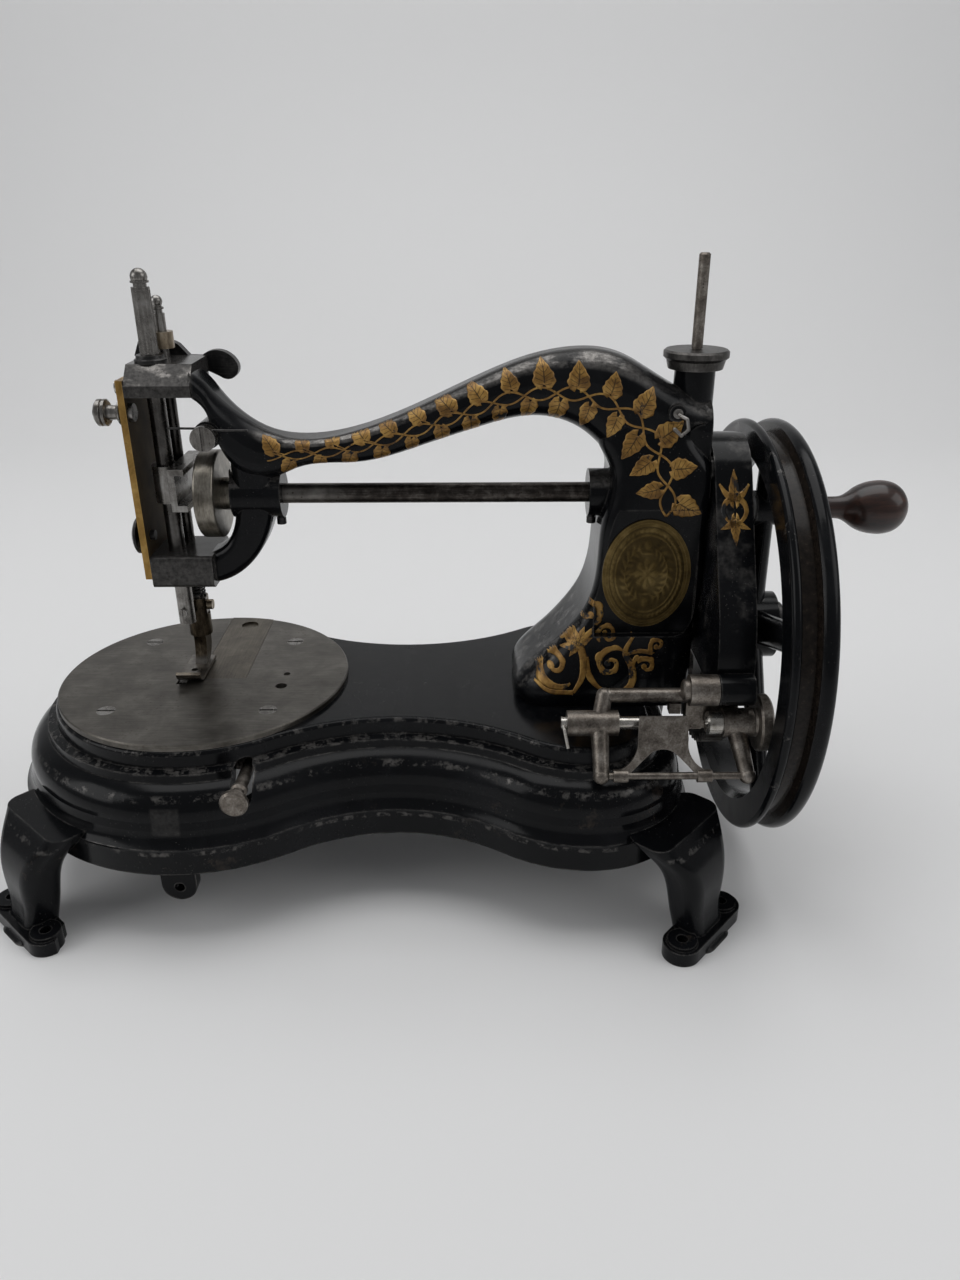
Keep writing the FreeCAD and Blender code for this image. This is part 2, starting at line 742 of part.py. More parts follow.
def regulator_shaft():
    shaft = rod(V(regulator_left, regulator_y, regulator_z), V(regulator_right, regulator_y,
        regulator_z), 3)
    finger = block(feed_x - 1.7, feed_x + 1.7, regulator_y, -40, regulator_z - 1.6, regulator_z + 1.6)
    hub = rod(V(regulator_x - 4, regulator_y, regulator_z), V(regulator_right, regulator_y, regulator_z), 4.4)
    bore = rod(V(regulator_x, regulator_y - 8, regulator_z), V(regulator_x, regulator_y, regulator_z),
        2.5 + seat_gap)
    return join(shaft, finger, hub).cut(bore)


def regulator_lever():
    root = regulator_y
    reach = root - knob_front
    steps = [
        (0, 2.5), (reach - 12, 2.5), (reach - 11, 3.2), (reach - 9.5, 3.2), (reach - 8.5, 2.4),
        (reach - 4.5, 2.6),
        (reach - 3.4, 3.6, reach - 2.6, knob_radius), (reach - 0.8, knob_radius), (reach,
        knob_radius - 0.8), (reach, 0), (0, 0)]
    return turned((0, 0), steps, V(regulator_x, root, regulator_z), along_y * -1)


def regulator_bracket():
    """Two round-ended ears that hang from the plate and carry the shaft."""
    ears = []
    for x0 in (slide_left - 3.4, slide_right + 2.1):
        x1 = x0 + 3.2
        ring = rod(V(x0, regulator_y, regulator_z), V(x1, regulator_y, regulator_z), 4.3)
        stem = block(x0, x1, regulator_y - 1.5, regulator_y + 4, regulator_z, bed_top)
        bore = rod(V(x0 - 1, regulator_y, regulator_z), V(x1 + 1, regulator_y, regulator_z), 3 + run_gap)
        ears.append(join(ring, stem).cut(bore))
    return ears


# Head: face plate, tension, bars and presser
def face_plate():
    x0 = head_left - face_plate_thickness
    k = 4.0
    steps = [
        (head_rear - k, face_plate_bottom), (head_rear, face_plate_bottom + k), (head_rear,
        face_plate_top - k),
        (head_rear - k, face_plate_top), (head_front, face_plate_top), (head_front, face_plate_bottom)]
    sheet = slab((head_front, face_plate_bottom), steps, on_yz(x0), along_x * face_plate_thickness)
    holes = [rod(V(x0 - 1, y, z), V(head_left + 1, y, z), 1.3 + seat_gap) for y, z in face_screw_places]
    holes.append(rod(V(x0 - 1, tension_y, tension_z), V(head_left + 1, tension_y, tension_z),
        2 + seat_gap))
    holes.append(rod(V(x0 - 1, check_y, check_z), V(head_left + 1, check_y, check_z), 2 + seat_gap))
    return drill(sheet, *holes)


def face_screws():
    x0 = head_left - face_plate_thickness
    return [slotted_screw(V(x0, y, z), along_x * -1, 2.6, 1.5, 1.3, face_plate_thickness + 4) for y,
        z in face_screw_places]


def tension_stud():
    left = tension_nut_left - 1.2
    x0 = head_left - face_plate_thickness
    steps = [
        (0, 1.6), (0.6, 2), (x0 - left, 2), (x0 - left + face_plate_thickness, 2),
        (x0 - left + face_plate_thickness, 3.4),
        (x0 - left + face_plate_thickness + 1.6, 3.4), (x0 - left + face_plate_thickness + 1.6, 0),
        (0, 0)]
    return turned((0, 0), steps, V(left, tension_y, tension_z), along_x)


def tension_discs():
    x0 = head_left - face_plate_thickness
    bore = 2 + seat_gap
    discs = []
    for right, lean in ((x0, 1), (x0 - 1.0, -1)):
        steps = [(-1.0, bore), (-1.0, 3.4), (-0.5 - 0.5 * lean, 4.8), (0.5 - 0.5 * lean - 0.5, 4.8),
            (0, 3.4), (0, bore)]
        discs.append(turned((0, bore), steps, V(right, tension_y, tension_z), along_x))
    return discs


def tension_nut():
    bore = 2 + run_gap
    w = tension_nut_width
    steps = [
        (0, 4.2), (0.8, 5.1), (2.2, 5.1), (2.6, 4.6), (3.0, 5.1), (w - 0.6, 5.1), (w, 4.2), (w, 2.9),
        (w + 3.4, 2.6), (w + 3.4, bore),
        (0, bore)]
    return turned((0, bore), steps, V(tension_nut_left, tension_y, tension_z), along_x)


def thread_check():
    x0 = head_left - face_plate_thickness
    steps = [
        (0, 2.2), (0, 4.2), (0.9, 6.4), (1.6, 7.4), (2.4, 7.4), (2.4, 2.6), (3.6, 2.6), (3.6, 2),
        (3.6 + face_plate_thickness + 2, 2),
        (3.6 + face_plate_thickness + 2, 0), (-0.8, 0), (-0.8, 1.6)]
    return turned((-0.8, 1.6), steps, V(x0 - 3.6, check_y, check_z), along_x)


def acorn(base, radius):
    """A turned finial: neck, ring and acorn."""
    nut = radius * 0.92
    neck = radius * 0.72
    rise = finial_height - nut
    steps = [
        (0, neck), (1.2, neck), (1.5, radius), (2.2, radius), (2.5, neck), (rise, neck), (rise, 0),
        (0, 0)]
    return turned((0, 0), steps, base, along_z).fuse(ball(base + along_z * rise, nut))


def needle_bar():
    bar = rod(V(needle_x, 0, needle_bar_bottom), V(needle_x, 0, needle_bar_top), needle_bar_radius)
    flutes = []
    for step in range(8):
        angle = math.radians(45 * step)
        spot = V(needle_x + math.cos(angle) * (needle_bar_radius + 0.9),
            math.sin(angle) * (needle_bar_radius + 0.9), 0)
        flutes.append(rod(spot + along_z * (head_top + flute_start),
            spot + along_z * (needle_bar_top - 1), 1.3))
    bar = bar.cut(flutes)
    bar = bar.fuse(acorn(V(needle_x, 0, needle_bar_top), needle_bar_radius))
    bore = rod(V(needle_x, 0, needle_bar_bottom - 1), V(needle_x, 0, needle_bar_bottom + 12),
        needle_bore_radius)
    screw_way = rod(V(needle_x, 0, needle_bar_bottom + 6), V(needle_x, -6, needle_bar_bottom + 6),
        0.9 + seat_gap)
    return drill(bar, bore, screw_way)


def needle_screw():
    seat = V(needle_x, -needle_bar_radius, needle_bar_bottom + 6)
    return slotted_screw(seat, along_y * -1, 1.7, 2.0, 0.9, needle_bar_radius - needle_bore_radius)


def needle_bush():
    inner = needle_bar_radius + run_gap
    steps = [(0, inner + 2.6), (1.2, inner + 2.6), (1.6, inner + 1.9), (2.8, inner + 1.7), (2.8,
        inner), (0, inner)]
    return turned((0, inner), steps, V(needle_x, 0, head_top), along_z)


def needle_yoke():
    """The level channel on the needle bar in which the crank roller runs."""
    z0 = shaft_z + crank_throw * math.sin(math.radians(crank_phase)) - 8.45
    z1 = z0 + 16.9
    x0 = yoke_right - yoke_width
    n = yoke_half_length
    steps = [
        (yoke_right, z0), (yoke_right, z0 + yoke_wall), (x0 + yoke_wall, z0 + yoke_wall),
        (x0 + yoke_wall, z1 - yoke_wall),
        (yoke_right, z1 - yoke_wall), (yoke_right, z1), (x0, z1), (x0, z0)]
    channel = slab((x0, z0), steps, on_xz(-n + 5), along_y * (2 * n - 5))
    clamp = rod(V(needle_x, 0, z0 + 1), V(needle_x, 0, z1 - 1), needle_bar_radius + 2)
    clamp = clamp.cut(block(x0 + 1, yoke_right + 5, -20, 20, z0 - 1, z1 + 1))
    bore = rod(V(needle_x, 0, z0 - 1), V(needle_x, 0, z1 + 1), needle_bar_radius + seat_gap)
    return join(channel, clamp).cut(bore)


def presser_bar():
    bottom = plate_top + foot_height_over_plate + foot_shank
    bar = rod(V(presser_x, presser_y, bottom), V(presser_x, presser_y, presser_bar_top), presser_radius)
    return bar.fuse(acorn(V(presser_x, presser_y, presser_bar_top), presser_radius))


def presser_collar():
    """The lifting collar on the bar, with the follower over the lifter cam."""
    z0 = lifter_z + lifter_cam_radius + follower_gap
    ring = rod(V(presser_x, presser_y, z0 - 1.2), V(presser_x, presser_y, z0 + 5), presser_radius + 2.2)
    bridge = slab(
        (presser_x, presser_y), [(presser_x, head_rear), (lifter_x, head_rear), (lifter_x - 2,
        presser_y - 1), (presser_x, presser_y)],
        on_xy(z0), along_z * 4)
    follower = rod(V(lifter_x, presser_y + 1, z0 + follower_radius),
        V(lifter_x, head_rear + lifter_thickness + 1.5, z0 + follower_radius), follower_radius)
    bore = rod(V(presser_x, presser_y, z0 - 5), V(presser_x, presser_y, z0 + 9),
        presser_radius + seat_gap)
    return join(ring, bridge, follower).cut(bore)


def presser_foot():
    """Clamp, shank and a sole whose toe curls up towards the person sewing."""
    sole = plate_top + foot_height_over_plate
    top = presser_clamp_top
    seat = presser_x + presser_radius + 2.4
    screw_z = top - 4
    y = presser_y
    ring = rod(V(presser_x, y, sole + foot_shank - 3), V(presser_x, y, top), presser_radius + 2.4)
    shank = slab(
        (y + 4.6, sole + foot_shank), [(y + 4.6, sole + 9), (y + 2, sole + 4, y - 3, sole + 1),
        (y - 7, sole + 1),
         (y - 4.5, sole + 6, y - 3.8, sole + foot_shank - 3), (y - 3.8, sole + foot_shank), (y + 4.6,
         sole + foot_shank)],
        on_yz(presser_x - 2.6), along_x * 5.2)
    plate = slab(
        (y + 3, sole), [(-5, sole), (-8.8, sole + 0.9, -11, sole + 4.2), (-9.8, sole + 4.8), (-8.2,
        sole + 2.3, -5, sole + 1.4),
         (y + 3, sole + 1.4), (y + 3, sole)],
        on_yz(needle_x - 5), along_x * 10.5)
    eye = rod(V(needle_x, 0, sole - 1), V(needle_x, 0, sole + 9), 1.5)
    bore = rod(V(presser_x, y, sole + foot_shank), V(presser_x, y, top + 1), presser_radius + seat_gap)
    way = rod(V(presser_x, y, screw_z), V(seat + 5, y, screw_z), 1.1 + seat_gap)
    spot = block(seat - 0.6, seat + 3, y - 5, y + 5, screw_z - 4, top + 1)
    return drill(join(ring, shank, plate), eye, bore, way, spot)


def foot_screw():
    seat = V(presser_x + presser_radius + 1.8, presser_y, presser_clamp_top - 4)
    return slotted_screw(seat, along_x, 2.2, 2.4, 1.1, 1.8)


def least_gap(points):
    """The least distance between places at least three quarters of a turn apart."""
    return min((points[i] - points[j]).Length for i in range(len(points)) for j in range(i + 6,
        len(points)))


def piped(edges, wire):
    """A round wire swept along joined lines and arcs."""
    start = edges[0].Vertexes[0].Point
    ring = Part.Wire(Part.Circle(start, edges[0].tangentAt(edges[0].FirstParameter), wire).toShape())
    body = Part.BRepOffsetAPI.MakePipeShell(Part.Wire(edges))
    body.add(ring)
    body.build()
    body.makeSolid()
    return body.shape()


def coil(centre, radius, wire, turns, height):
    """One unbroken wire of quarter-turn arcs that climb steadily."""
    steps = 4 * turns
    points = []
    for step in range(2 * steps + 1):
        angle = math.pi / 4 * step
        rise = height * step / (2 * steps)
        points.append(centre + V(radius * math.cos(angle), radius * math.sin(angle), rise))
    edges = [Part.Arc(points[2 * i], points[2 * i + 1],
        points[2 * i + 2]).toShape() for i in range(steps)]
    print("coil least gap %.2f mm" % (least_gap(points) - 2 * wire))
    return piped(edges, wire)


def presser_spring():
    low = presser_clamp_top + spring_wire + 0.03
    high = jaw_bottom - spring_wire - 0.03
    return coil(V(presser_x, presser_y, low), spring_mean_radius, spring_wire, spring_turns, high - low)


def lifter_lever():
    """A cam with a steady rise, a neck and a paddle for the thumb."""
    y0 = head_rear + clear_gap
    rise = []
    for step in range(5):
        turn = lifter_angle * step / 4
        radius = lifter_cam_radius + lifter_lift * turn / lifter_angle
        angle = math.radians(90 - turn)
        rise.append(V(lifter_x + radius * math.cos(angle), y0, lifter_z + radius * math.sin(angle)))
    crest = Part.BSplineCurve()
    crest.interpolate(rise)
    peak = rise[-1]
    place = on_xz(y0)
    edges = [crest.toShape()]
    body = [
        (lifter_x + 14, lifter_z + 1.8), (lifter_x + 19, lifter_z + 1.6), (lifter_x + 27,
        lifter_z + 3.6, lifter_x + 33, lifter_z - 1.5),
        (lifter_x + 31.5, lifter_z - 6.5, lifter_x + 26, lifter_z - 6.6), (lifter_x + 18,
        lifter_z - 3, lifter_x + 12, lifter_z - 1.2),
        (lifter_x + 6, lifter_z - 3.4), (lifter_x, lifter_z - 6), (lifter_x - 5, lifter_z - 3.5),
        (lifter_x - 7.5, lifter_z + 2),
        (lifter_x - 5, lifter_z + 8), (lifter_x, lifter_z + lifter_cam_radius)]
    outline = Part.Wire(edges + trace((peak.x, peak.z), body, place).Edges)
    plate = Part.Face(outline).extrude(along_y * lifter_thickness)
    bore = rod(V(lifter_x, y0 - 1, lifter_z), V(lifter_x, y0 + lifter_thickness + 1, lifter_z),
        2 + run_gap)
    return plate.cut(bore)


def lifter_pin():
    y0 = head_rear + clear_gap
    steps = [
        (0, 2), (head_rear - 8 + clear_gap + lifter_thickness + run_gap, 2),
        (head_rear - 8 + clear_gap + lifter_thickness + run_gap, 3.6),
        (y0 - 8 + lifter_thickness + 1.8, 3.6), (y0 - 8 + lifter_thickness + 1.8, 0), (0, 0)]
    return turned((0, 0), steps, V(lifter_x, 8, lifter_z), along_y)


# Crank at the head and the upper shaft
def spin_point(radius, degrees):
    angle = math.radians(degrees)
    return V(0, radius * math.cos(angle), shaft_z + radius * math.sin(angle))


def upper_shaft():
    return rod(V(disc_left, 0, shaft_z), V(gear_left + gear_width + 0.6, 0, shaft_z), shaft_radius)


def crank_disc():
    right = disc_left + disc_thickness
    disc = rod(V(disc_left, 0, shaft_z), V(right, 0, shaft_z), disc_radius)
    disc = disc.makeFillet(1.0, [e for e in disc.Edges if e.Closed])
    sleeve = rod(V(right - 1, 0, shaft_z), V(left_boss_left - clear_gap, 0, shaft_z), sleeve_radius)
    bore = rod(V(disc_left - 1, 0, shaft_z), V(-80, 0, shaft_z), shaft_radius + seat_gap)
    pin = spin_point(crank_throw, crank_phase)
    pin_bore = rod(pin + along_x * (disc_left - 1), pin + along_x * (right + 1), 2 + seat_gap)
    return drill(join(disc, sleeve), bore, pin_bore)


def crank_roller():
    pin = spin_point(crank_throw, crank_phase)
    left = yoke_right + clear_gap
    roller = rod(pin + along_x * left, pin + along_x * disc_left, roller_radius)
    return join(roller, rod(pin + along_x * (disc_left - 1),
        pin + along_x * (disc_left + disc_thickness - 3), 2))


def gear(teeth, left, width, bore, phase):
    """A spur gear: each tooth is a straight-sided trapezium on the pitch line."""
    pitch = gear_module * teeth / 2
    tip = pitch + gear_module
    root = pitch - 1.25 * gear_module
    slim = 0.965
    points = []
    for tooth in range(teeth):
        middle = math.radians(phase) + 2 * math.pi * tooth / teeth
        for radius, half in ((root, 0.62), (pitch, 0.5 * slim), (tip, 0.24)):
            points.append((radius, middle - half * math.pi / teeth))
        for radius, half in ((tip, 0.24), (pitch, 0.5 * slim), (root, 0.62)):
            points.append((radius, middle + half * math.pi / teeth))
    ring = [V(left, r * math.cos(a), r * math.sin(a)) for r, a in points]
    body = Part.Face(Part.makePolygon(ring + [ring[0]])).extrude(along_x * width)
    return body.cut(rod(V(left - 1, 0, 0), V(left + width + 1, 0, 0), bore))


def pinion():
    shape = gear(pinion_teeth, gear_left, gear_width, shaft_radius + seat_gap, -90)
    shape.translate(along_z * shaft_z)
    return shape


def drive_gear():
    """The large gear: toothed rim, thin web with round windows, and a hub."""
    shape = gear(gear_teeth, gear_left, gear_width, axle_radius + run_gap, 90 + 180.0 / gear_teeth)
    pocket = turned(
        (-1, hub_radius), [(-1, 42), (2.6, 42), (2.6, hub_radius), (-1, hub_radius)], V(gear_left, 0,
        0), along_x)
    windows = []
    for step in range(6):
        angle = math.radians(60 * step)
        spot = V(0, 28 * math.cos(angle), 28 * math.sin(angle))
        windows.append(rod(spot + along_x * (gear_left - 1),
            spot + along_x * (gear_left + gear_width + 1), 8))
    holes = [rod(p + along_x * gear_left, p + along_x * (gear_left + gear_width + 1),
        1.5 + seat_gap) for p in gear_screw_places()]
    holes += [rod(p + along_x * (gear_left - 1), p + along_x * (gear_left + 1.2),
        2.4 + seat_gap) for p in gear_screw_places()]
    shape = drill(shape, pocket, *(windows + holes))
    shape.translate(along_z * wheel_z)
    return shape


def gear_screw_places():
    return [V(0, 10 * math.cos(math.radians(a)), 10 * math.sin(math.radians(a))) for a in (30, 150,
        270)]


def gear_screws():
    screws = []
    for p in gear_screw_places():
        seat = V(gear_left + 1.2, p.y, wheel_z + p.z)
        screws.append(slotted_screw(seat, along_x * -1, 2.4, 1.0, 1.5, gear_width + 5))
    return screws


def hand_wheel():
    x0 = wheel_left
    x1 = wheel_left + wheel_width
    g0 = x0 + groove_left
    g1 = g0 + groove_width
    floor = wheel_radius - groove_depth
    crown = 1.6
    steps = [
        (x0, wheel_radius - crown), ((x0 + g0) / 2, wheel_radius, g0, wheel_radius - crown * 0.8),
        (g0 + 1, floor), (g1 - 1, floor),
        (g1, wheel_radius - crown * 0.8), ((g1 + x1) / 2, wheel_radius, x1, wheel_radius - crown),
        (x1, wheel_inner_radius + 2), (x1 - 3, wheel_inner_radius), (x0 + 3, wheel_inner_radius), (x0,
        wheel_inner_radius + 2)]
    rim = turned((x0, wheel_inner_radius + 2), steps, V(0, 0, 0), along_x)
    hub_left = gear_left + gear_width
    hub = rod(along_x * hub_left, along_x * (x1 + 1.5), hub_radius)
    middle = x0 + wheel_width * 0.55
    spokes = []
    for step in range(spoke_count):
        wide = Part.Wire(Part.Ellipse(V(0, 0, 0), 7.0, 4.4).toShape())
        thin = Part.Wire(Part.Ellipse(V(0, 0, 0), 5.4, 3.6).toShape())
        wide.translate(along_z * (hub_radius - 4))
        thin.translate(along_z * (wheel_inner_radius + 2))
        spoke = Part.makeLoft([wide, thin], True, True)
        spoke.rotate(V(0, 0, 0), along_z, 90)
        spoke.rotate(V(0, 0, 0), along_x, 360.0 / spoke_count * step)
        spoke.translate(along_x * middle)
        spokes.append(spoke)
    handle = along_z * handle_radius_from_axis
    boss = rod(handle + along_x * (middle - 4.4),
        handle + along_x * (handle_end - handle_length - clear_gap), 7)
    bore = rod(along_x * (hub_left - 1), along_x * (x1 + 5), axle_radius + run_gap)
    bolt_bore = rod(handle + along_x * (middle - 8), handle + along_x * (x1 + 9),
        handle_bolt_radius + seat_gap)
    head_bore = rod(handle + along_x * (middle - 8), handle + along_x * (middle - 1.6), 4.6 + seat_gap)
    holes = [rod(p + along_x * (hub_left - 1), p + along_x * (hub_left + 9),
        1.5 + seat_gap) for p in gear_screw_places()]
    shape = drill(join(rim, hub, boss, *spokes), bore, bolt_bore, head_bore, *holes)
    shape.translate(along_z * wheel_z)
    return shape


def wheel_axle():
    left = 82.0
    end = wheel_left + wheel_width + 1.5 + run_gap
    steps = [
        (0, axle_radius), (end - left, axle_radius), (end - left, 9.5), (end - left + 3, 9.5),
        (end - left + 4, 8.5), (end - left + 4, 0), (0, 0)]
    axle = turned((0, 0), steps, V(left, 0, wheel_z), along_x)
    slot = block(end + 2.2, end + 6, -12, 12, wheel_z - 1.2, wheel_z + 1.2)
    collar = turned(
        (pillar_right, axle_radius - 1), [(gear_left - run_gap, axle_radius - 1),
        (gear_left - run_gap, 9), (pillar_right, 9), (pillar_right, axle_radius - 1)],
        V(0, 0, wheel_z), along_x)
    return join(axle, collar).cut(slot)


def handle_bolt():
    middle = wheel_left + wheel_width * 0.55
    inside = handle_end - 9.0
    steps = [
        (middle - 4.2, 4.6), (middle - 1.6, 4.6), (middle - 1.6, handle_bolt_radius), (inside,
        handle_bolt_radius), (inside, 4.2),
        (inside + 2.6, 4.2), (inside + 2.6, 0), (middle - 4.2, 0)]
    return turned((middle - 4.2, 0), steps, V(0, 0, wheel_z + handle_radius_from_axis), along_x)


def handle_grip():
    """Turned wood: flared shoulder, slim neck and a rounded bulb."""
    x0 = handle_end - handle_length
    bore = handle_bolt_radius + run_gap
    stem = handle_stem_radius
    steps = [
        (x0, stem + 1.6), (x0 + 1.5, stem + 2.4, x0 + 3.4, stem + 1.2), (x0 + 11, stem - 0.6, x0 + 19,
        stem + 0.6),
        (x0 + 28, handle_bulb_radius - 1.0, x0 + 36, handle_bulb_radius), (handle_end - 3.6,
        handle_bulb_radius - 3.8, handle_end, 4.9),
        (handle_end, 4.2 + run_gap * 2), (handle_end - 9 - run_gap, 4.2 + run_gap * 2),
        (handle_end - 9 - run_gap, bore), (x0, bore)]
    return turned((x0, bore), steps, V(0, 0, wheel_z + handle_radius_from_axis), along_x)


def guard_outline(offset):
    """A pear round both gears: upper arc, straight flanks, lower arc."""
    small = gear_module * (pinion_teeth + 2) / 2 + 10.5 + offset
    large = gear_module * (gear_teeth + 2) / 2 + guard_clearance + offset
    lean = math.asin((large - small) / (shaft_z - wheel_z))
    end = math.asin((guard_end_z - wheel_z) / large)
    top = [(small * math.cos(lean), shaft_z + small * math.sin(lean)), (0, shaft_z + small)]
    side = (large * math.cos(lean), wheel_z + large * math.sin(lean))
    foot = (large * math.cos(end), guard_end_z)
    swing = (lean + end) / 2
    belly = (large * math.cos(swing), wheel_z + large * math.sin(swing))
    return top, side, belly, foot


def pear(offset, x, width):
    top, side, belly, foot = guard_outline(offset)
    steps = [
        (-belly[0], belly[1], -side[0], side[1]), (-top[0][0], top[0][1]), (top[1][0], top[1][1],
        top[0][0], top[0][1]),
        (side[0], side[1]), (belly[0], belly[1], foot[0], foot[1]), (-foot[0], foot[1])]
    return slab((-foot[0], foot[1]), steps, on_yz(x), along_x * width)


def gear_guard():
    """The hood over the gears: a web against the pillar and a bent rim."""
    hood = pear(guard_wall, guard_left, guard_width)
    inside = pear(0, guard_left + guard_wall, guard_width)
    below = block(guard_left - 1, guard_left + guard_width + 1, -100, 100, guard_end_z - 5,
        guard_end_z + 0.5)
    open_low = block(guard_left + guard_wall, guard_left + guard_width + 1, -45, 45, guard_end_z - 5,
        wheel_z)
    axle_way = rod(V(guard_left - 1, 0, wheel_z), V(guard_left + 4, 0, wheel_z), 9 + clear_gap)
    shaft_way = rod(V(guard_left - 1, 0, shaft_z), V(guard_left + 4, 0, shaft_z),
        shaft_radius + clear_gap)
    holes = [rod(V(guard_left - 1, y, z), V(guard_left + 4, y, z), 1.6 + seat_gap) for y,
        z in guard_screw_places]
    shape = drill(hood, inside, below, open_low, axle_way, shaft_way, *holes)
    pads = [rod(V(pillar_right, y, z), V(guard_left + 0.5, y, z), 5).cut(rod(V(pillar_right - 1, y,
        z), V(guard_left + 2, y, z), 1.6 + seat_gap))
            for y, z in guard_screw_places]
    boss = rod(V(guard_left, winder_y, winder_z), V(guard_left + guard_width - 1, winder_y, winder_z),
        winder_barrel_radius)
    boss = boss.cut(pear(0, guard_left + guard_wall, guard_width))
    bore = rod(V(guard_left - 1, winder_y, winder_z), V(guard_left + 12, winder_y, winder_z),
        winder_pin_radius + seat_gap)
    return join(shape, boss, *pads).cut(bore)


def guard_screws():
    seat = guard_left + guard_wall
    return [slotted_screw(V(seat, y, z), along_x, 2.8, 0.5, 1.6, seat - pillar_right + 7) for y,
        z in guard_screw_places]


# Bobbin winder
def winder_frame():
    """Hinge barrel, bent arm, tail barrel and both legs to the guide rod."""
    pivot = V(0, winder_y, winder_z)
    spindle = V(0, spindle_y, spindle_z)
    guide = V(0, rod_y, rod_z)
    barrel = rod(pivot + along_x * winder_barrel_left, pivot + along_x * winder_barrel_right,
        winder_barrel_radius)
    tail_right = tail_left + tail_barrel_length
    elbow = tail_left + 12.5
    bar = V(0, winder_y + 5.5, winder_z - 5)
    arm = rod(bar + along_x * (elbow + 4), bar + along_x * (winder_barrel_left + 2), 2.8)
    shoulder = ball(bar + along_x * (elbow + 2), 3.1)
    drop = taper(bar + along_x * (elbow + 2), spindle + along_x * elbow, 3.1, 3.4)
    reach = ball(bar + along_x * (elbow + 4), 2.8)
    tail = rod(spindle + along_x * tail_left, spindle + along_x * tail_right, 4.9)
    left_leg = taper(spindle + along_x * elbow, guide + along_x * elbow, 3.6, 3.0)
    left_toe = ball(guide + along_x * elbow, 3.2)
    right = spindle_left + 6.0 + run_gap
    bearing = rod(spindle + along_x * right, spindle + along_x * (pulley_left - clear_gap),
        spindle_barrel_radius)
    hanger = block(winder_barrel_left + 0.6, spindle_left - 0.6, winder_y + 3.8, winder_y + 7,
        spindle_z - 5, winder_z + 2)
    bridge = block(winder_barrel_left + 0.6, right + 6, winder_y + 4.75, winder_y + 7, spindle_z - 5,
        spindle_z + 6)
    right_foot = rod_right + 2.6
    right_leg = taper(spindle + along_x * (right_foot - 3.4), guide + along_x * right_foot, 3.9, 2.9)
    right_toe = ball(guide + along_x * right_foot, 3.2)
    shape = join(barrel, arm, shoulder, reach, drop, tail, left_leg, left_toe, bearing, hanger,
        bridge, right_leg, right_toe)
    pivot_bore = rod(pivot + along_x * (winder_barrel_left - 1),
        pivot + along_x * (winder_barrel_right + 1), winder_pin_radius + run_gap)
    tail_bore = rod(spindle + along_x * (tail_left - 1), spindle + along_x * (tail_right + 1),
        tail_radius + run_gap)
    spindle_bore = rod(spindle + along_x * (right - 8), spindle + along_x * (pulley_left + 1),
        spindle_radius + run_gap)
    rod_bore = rod(guide + along_x * rod_left, guide + along_x * rod_right, rod_radius + seat_gap)
    oil = rod(spindle + along_x * (right + 6), spindle + V(right + 6, -3, 10), 0.9)
    clamp = rod(bar + along_x * clamp_x - along_z * 9, bar + along_x * clamp_x, 1.4 + seat_gap)
    return drill(shape, pivot_bore, tail_bore, spindle_bore, rod_bore, oil, clamp)


def winder_screw():
    seat = V(clamp_x, winder_y + 5.5, winder_z - 5 - 2.8)
    head = Part.makeBox(4.4, 4.4, 4.2, seat - V(2.2, 2.2, 4.2))
    neck = rod(seat - along_z * 1, seat + along_z * 1.2, 1.4)
    return join(head, neck)


def winder_pivot():
    left = winder_barrel_left - run_gap
    tip = guard_left + 11 - left
    steps = [
        (-2.4, 3.4), (-1.8, 4.2), (0, 4.2), (0, winder_pin_radius), (tip, winder_pin_radius), (tip,
        0), (-2.4, 0)]
    return turned((-2.4, 0), steps, V(left, winder_y, winder_z), along_x)


def winder_rod():
    return rod(V(rod_left, rod_y, rod_z), V(rod_right, rod_y, rod_z), rod_radius)


def winder_spindle():
    cap = 4.4
    end = pulley_left + pulley_width + 0.6
    steps = [
        (1.6, 1.4), (0.4, 2.0), (0.0, cap - 0.8), (0.8, cap), (6.0, cap), (6.0, spindle_radius),
        (end - spindle_left, spindle_radius), (end - spindle_left, 0), (1.6, 0)]
    return turned((1.6, 0), steps, V(spindle_left, spindle_y, spindle_z), along_x)


def winder_pulley():
    w = pulley_width
    bore = spindle_radius + seat_gap
    steps = [
        (0, 5.2), (0.9, 5.6), (0.9, pulley_radius - 0.8), (1.6, pulley_radius), (w - 0.8,
        pulley_radius), (w, pulley_radius - 0.8), (w, bore), (0, bore)]
    return turned((0, bore), steps, V(pulley_left, spindle_y, spindle_z), along_x)


def tail_spindle():
    """The sprung centre that holds a bobbin, with its wire finger loop."""
    r = tail_radius
    nose = tail_left + tail_barrel_length + 9.5
    steps = [(-2.2, r), (nose - tail_left - 1.5, r), (nose - tail_left, r - 1.3), (nose - tail_left,
        0), (-2.2, 0)]
    pin = turned((-2.2, 0), steps, V(tail_left, spindle_y, spindle_z), along_x)
    loop_x = tail_left - 1.4
    rail = [V(loop_x, spindle_y, spindle_z), V(loop_x, spindle_y - 6, spindle_z + 0.5),
        V(loop_x + 1.5, spindle_y - 7.6, spindle_z - 6.5)]
    wire = [rod(rail[0], rail[1], 0.7), ball(rail[1], 0.7), rod(rail[1], rail[2], 0.7)]
    return join(pin, *wire)


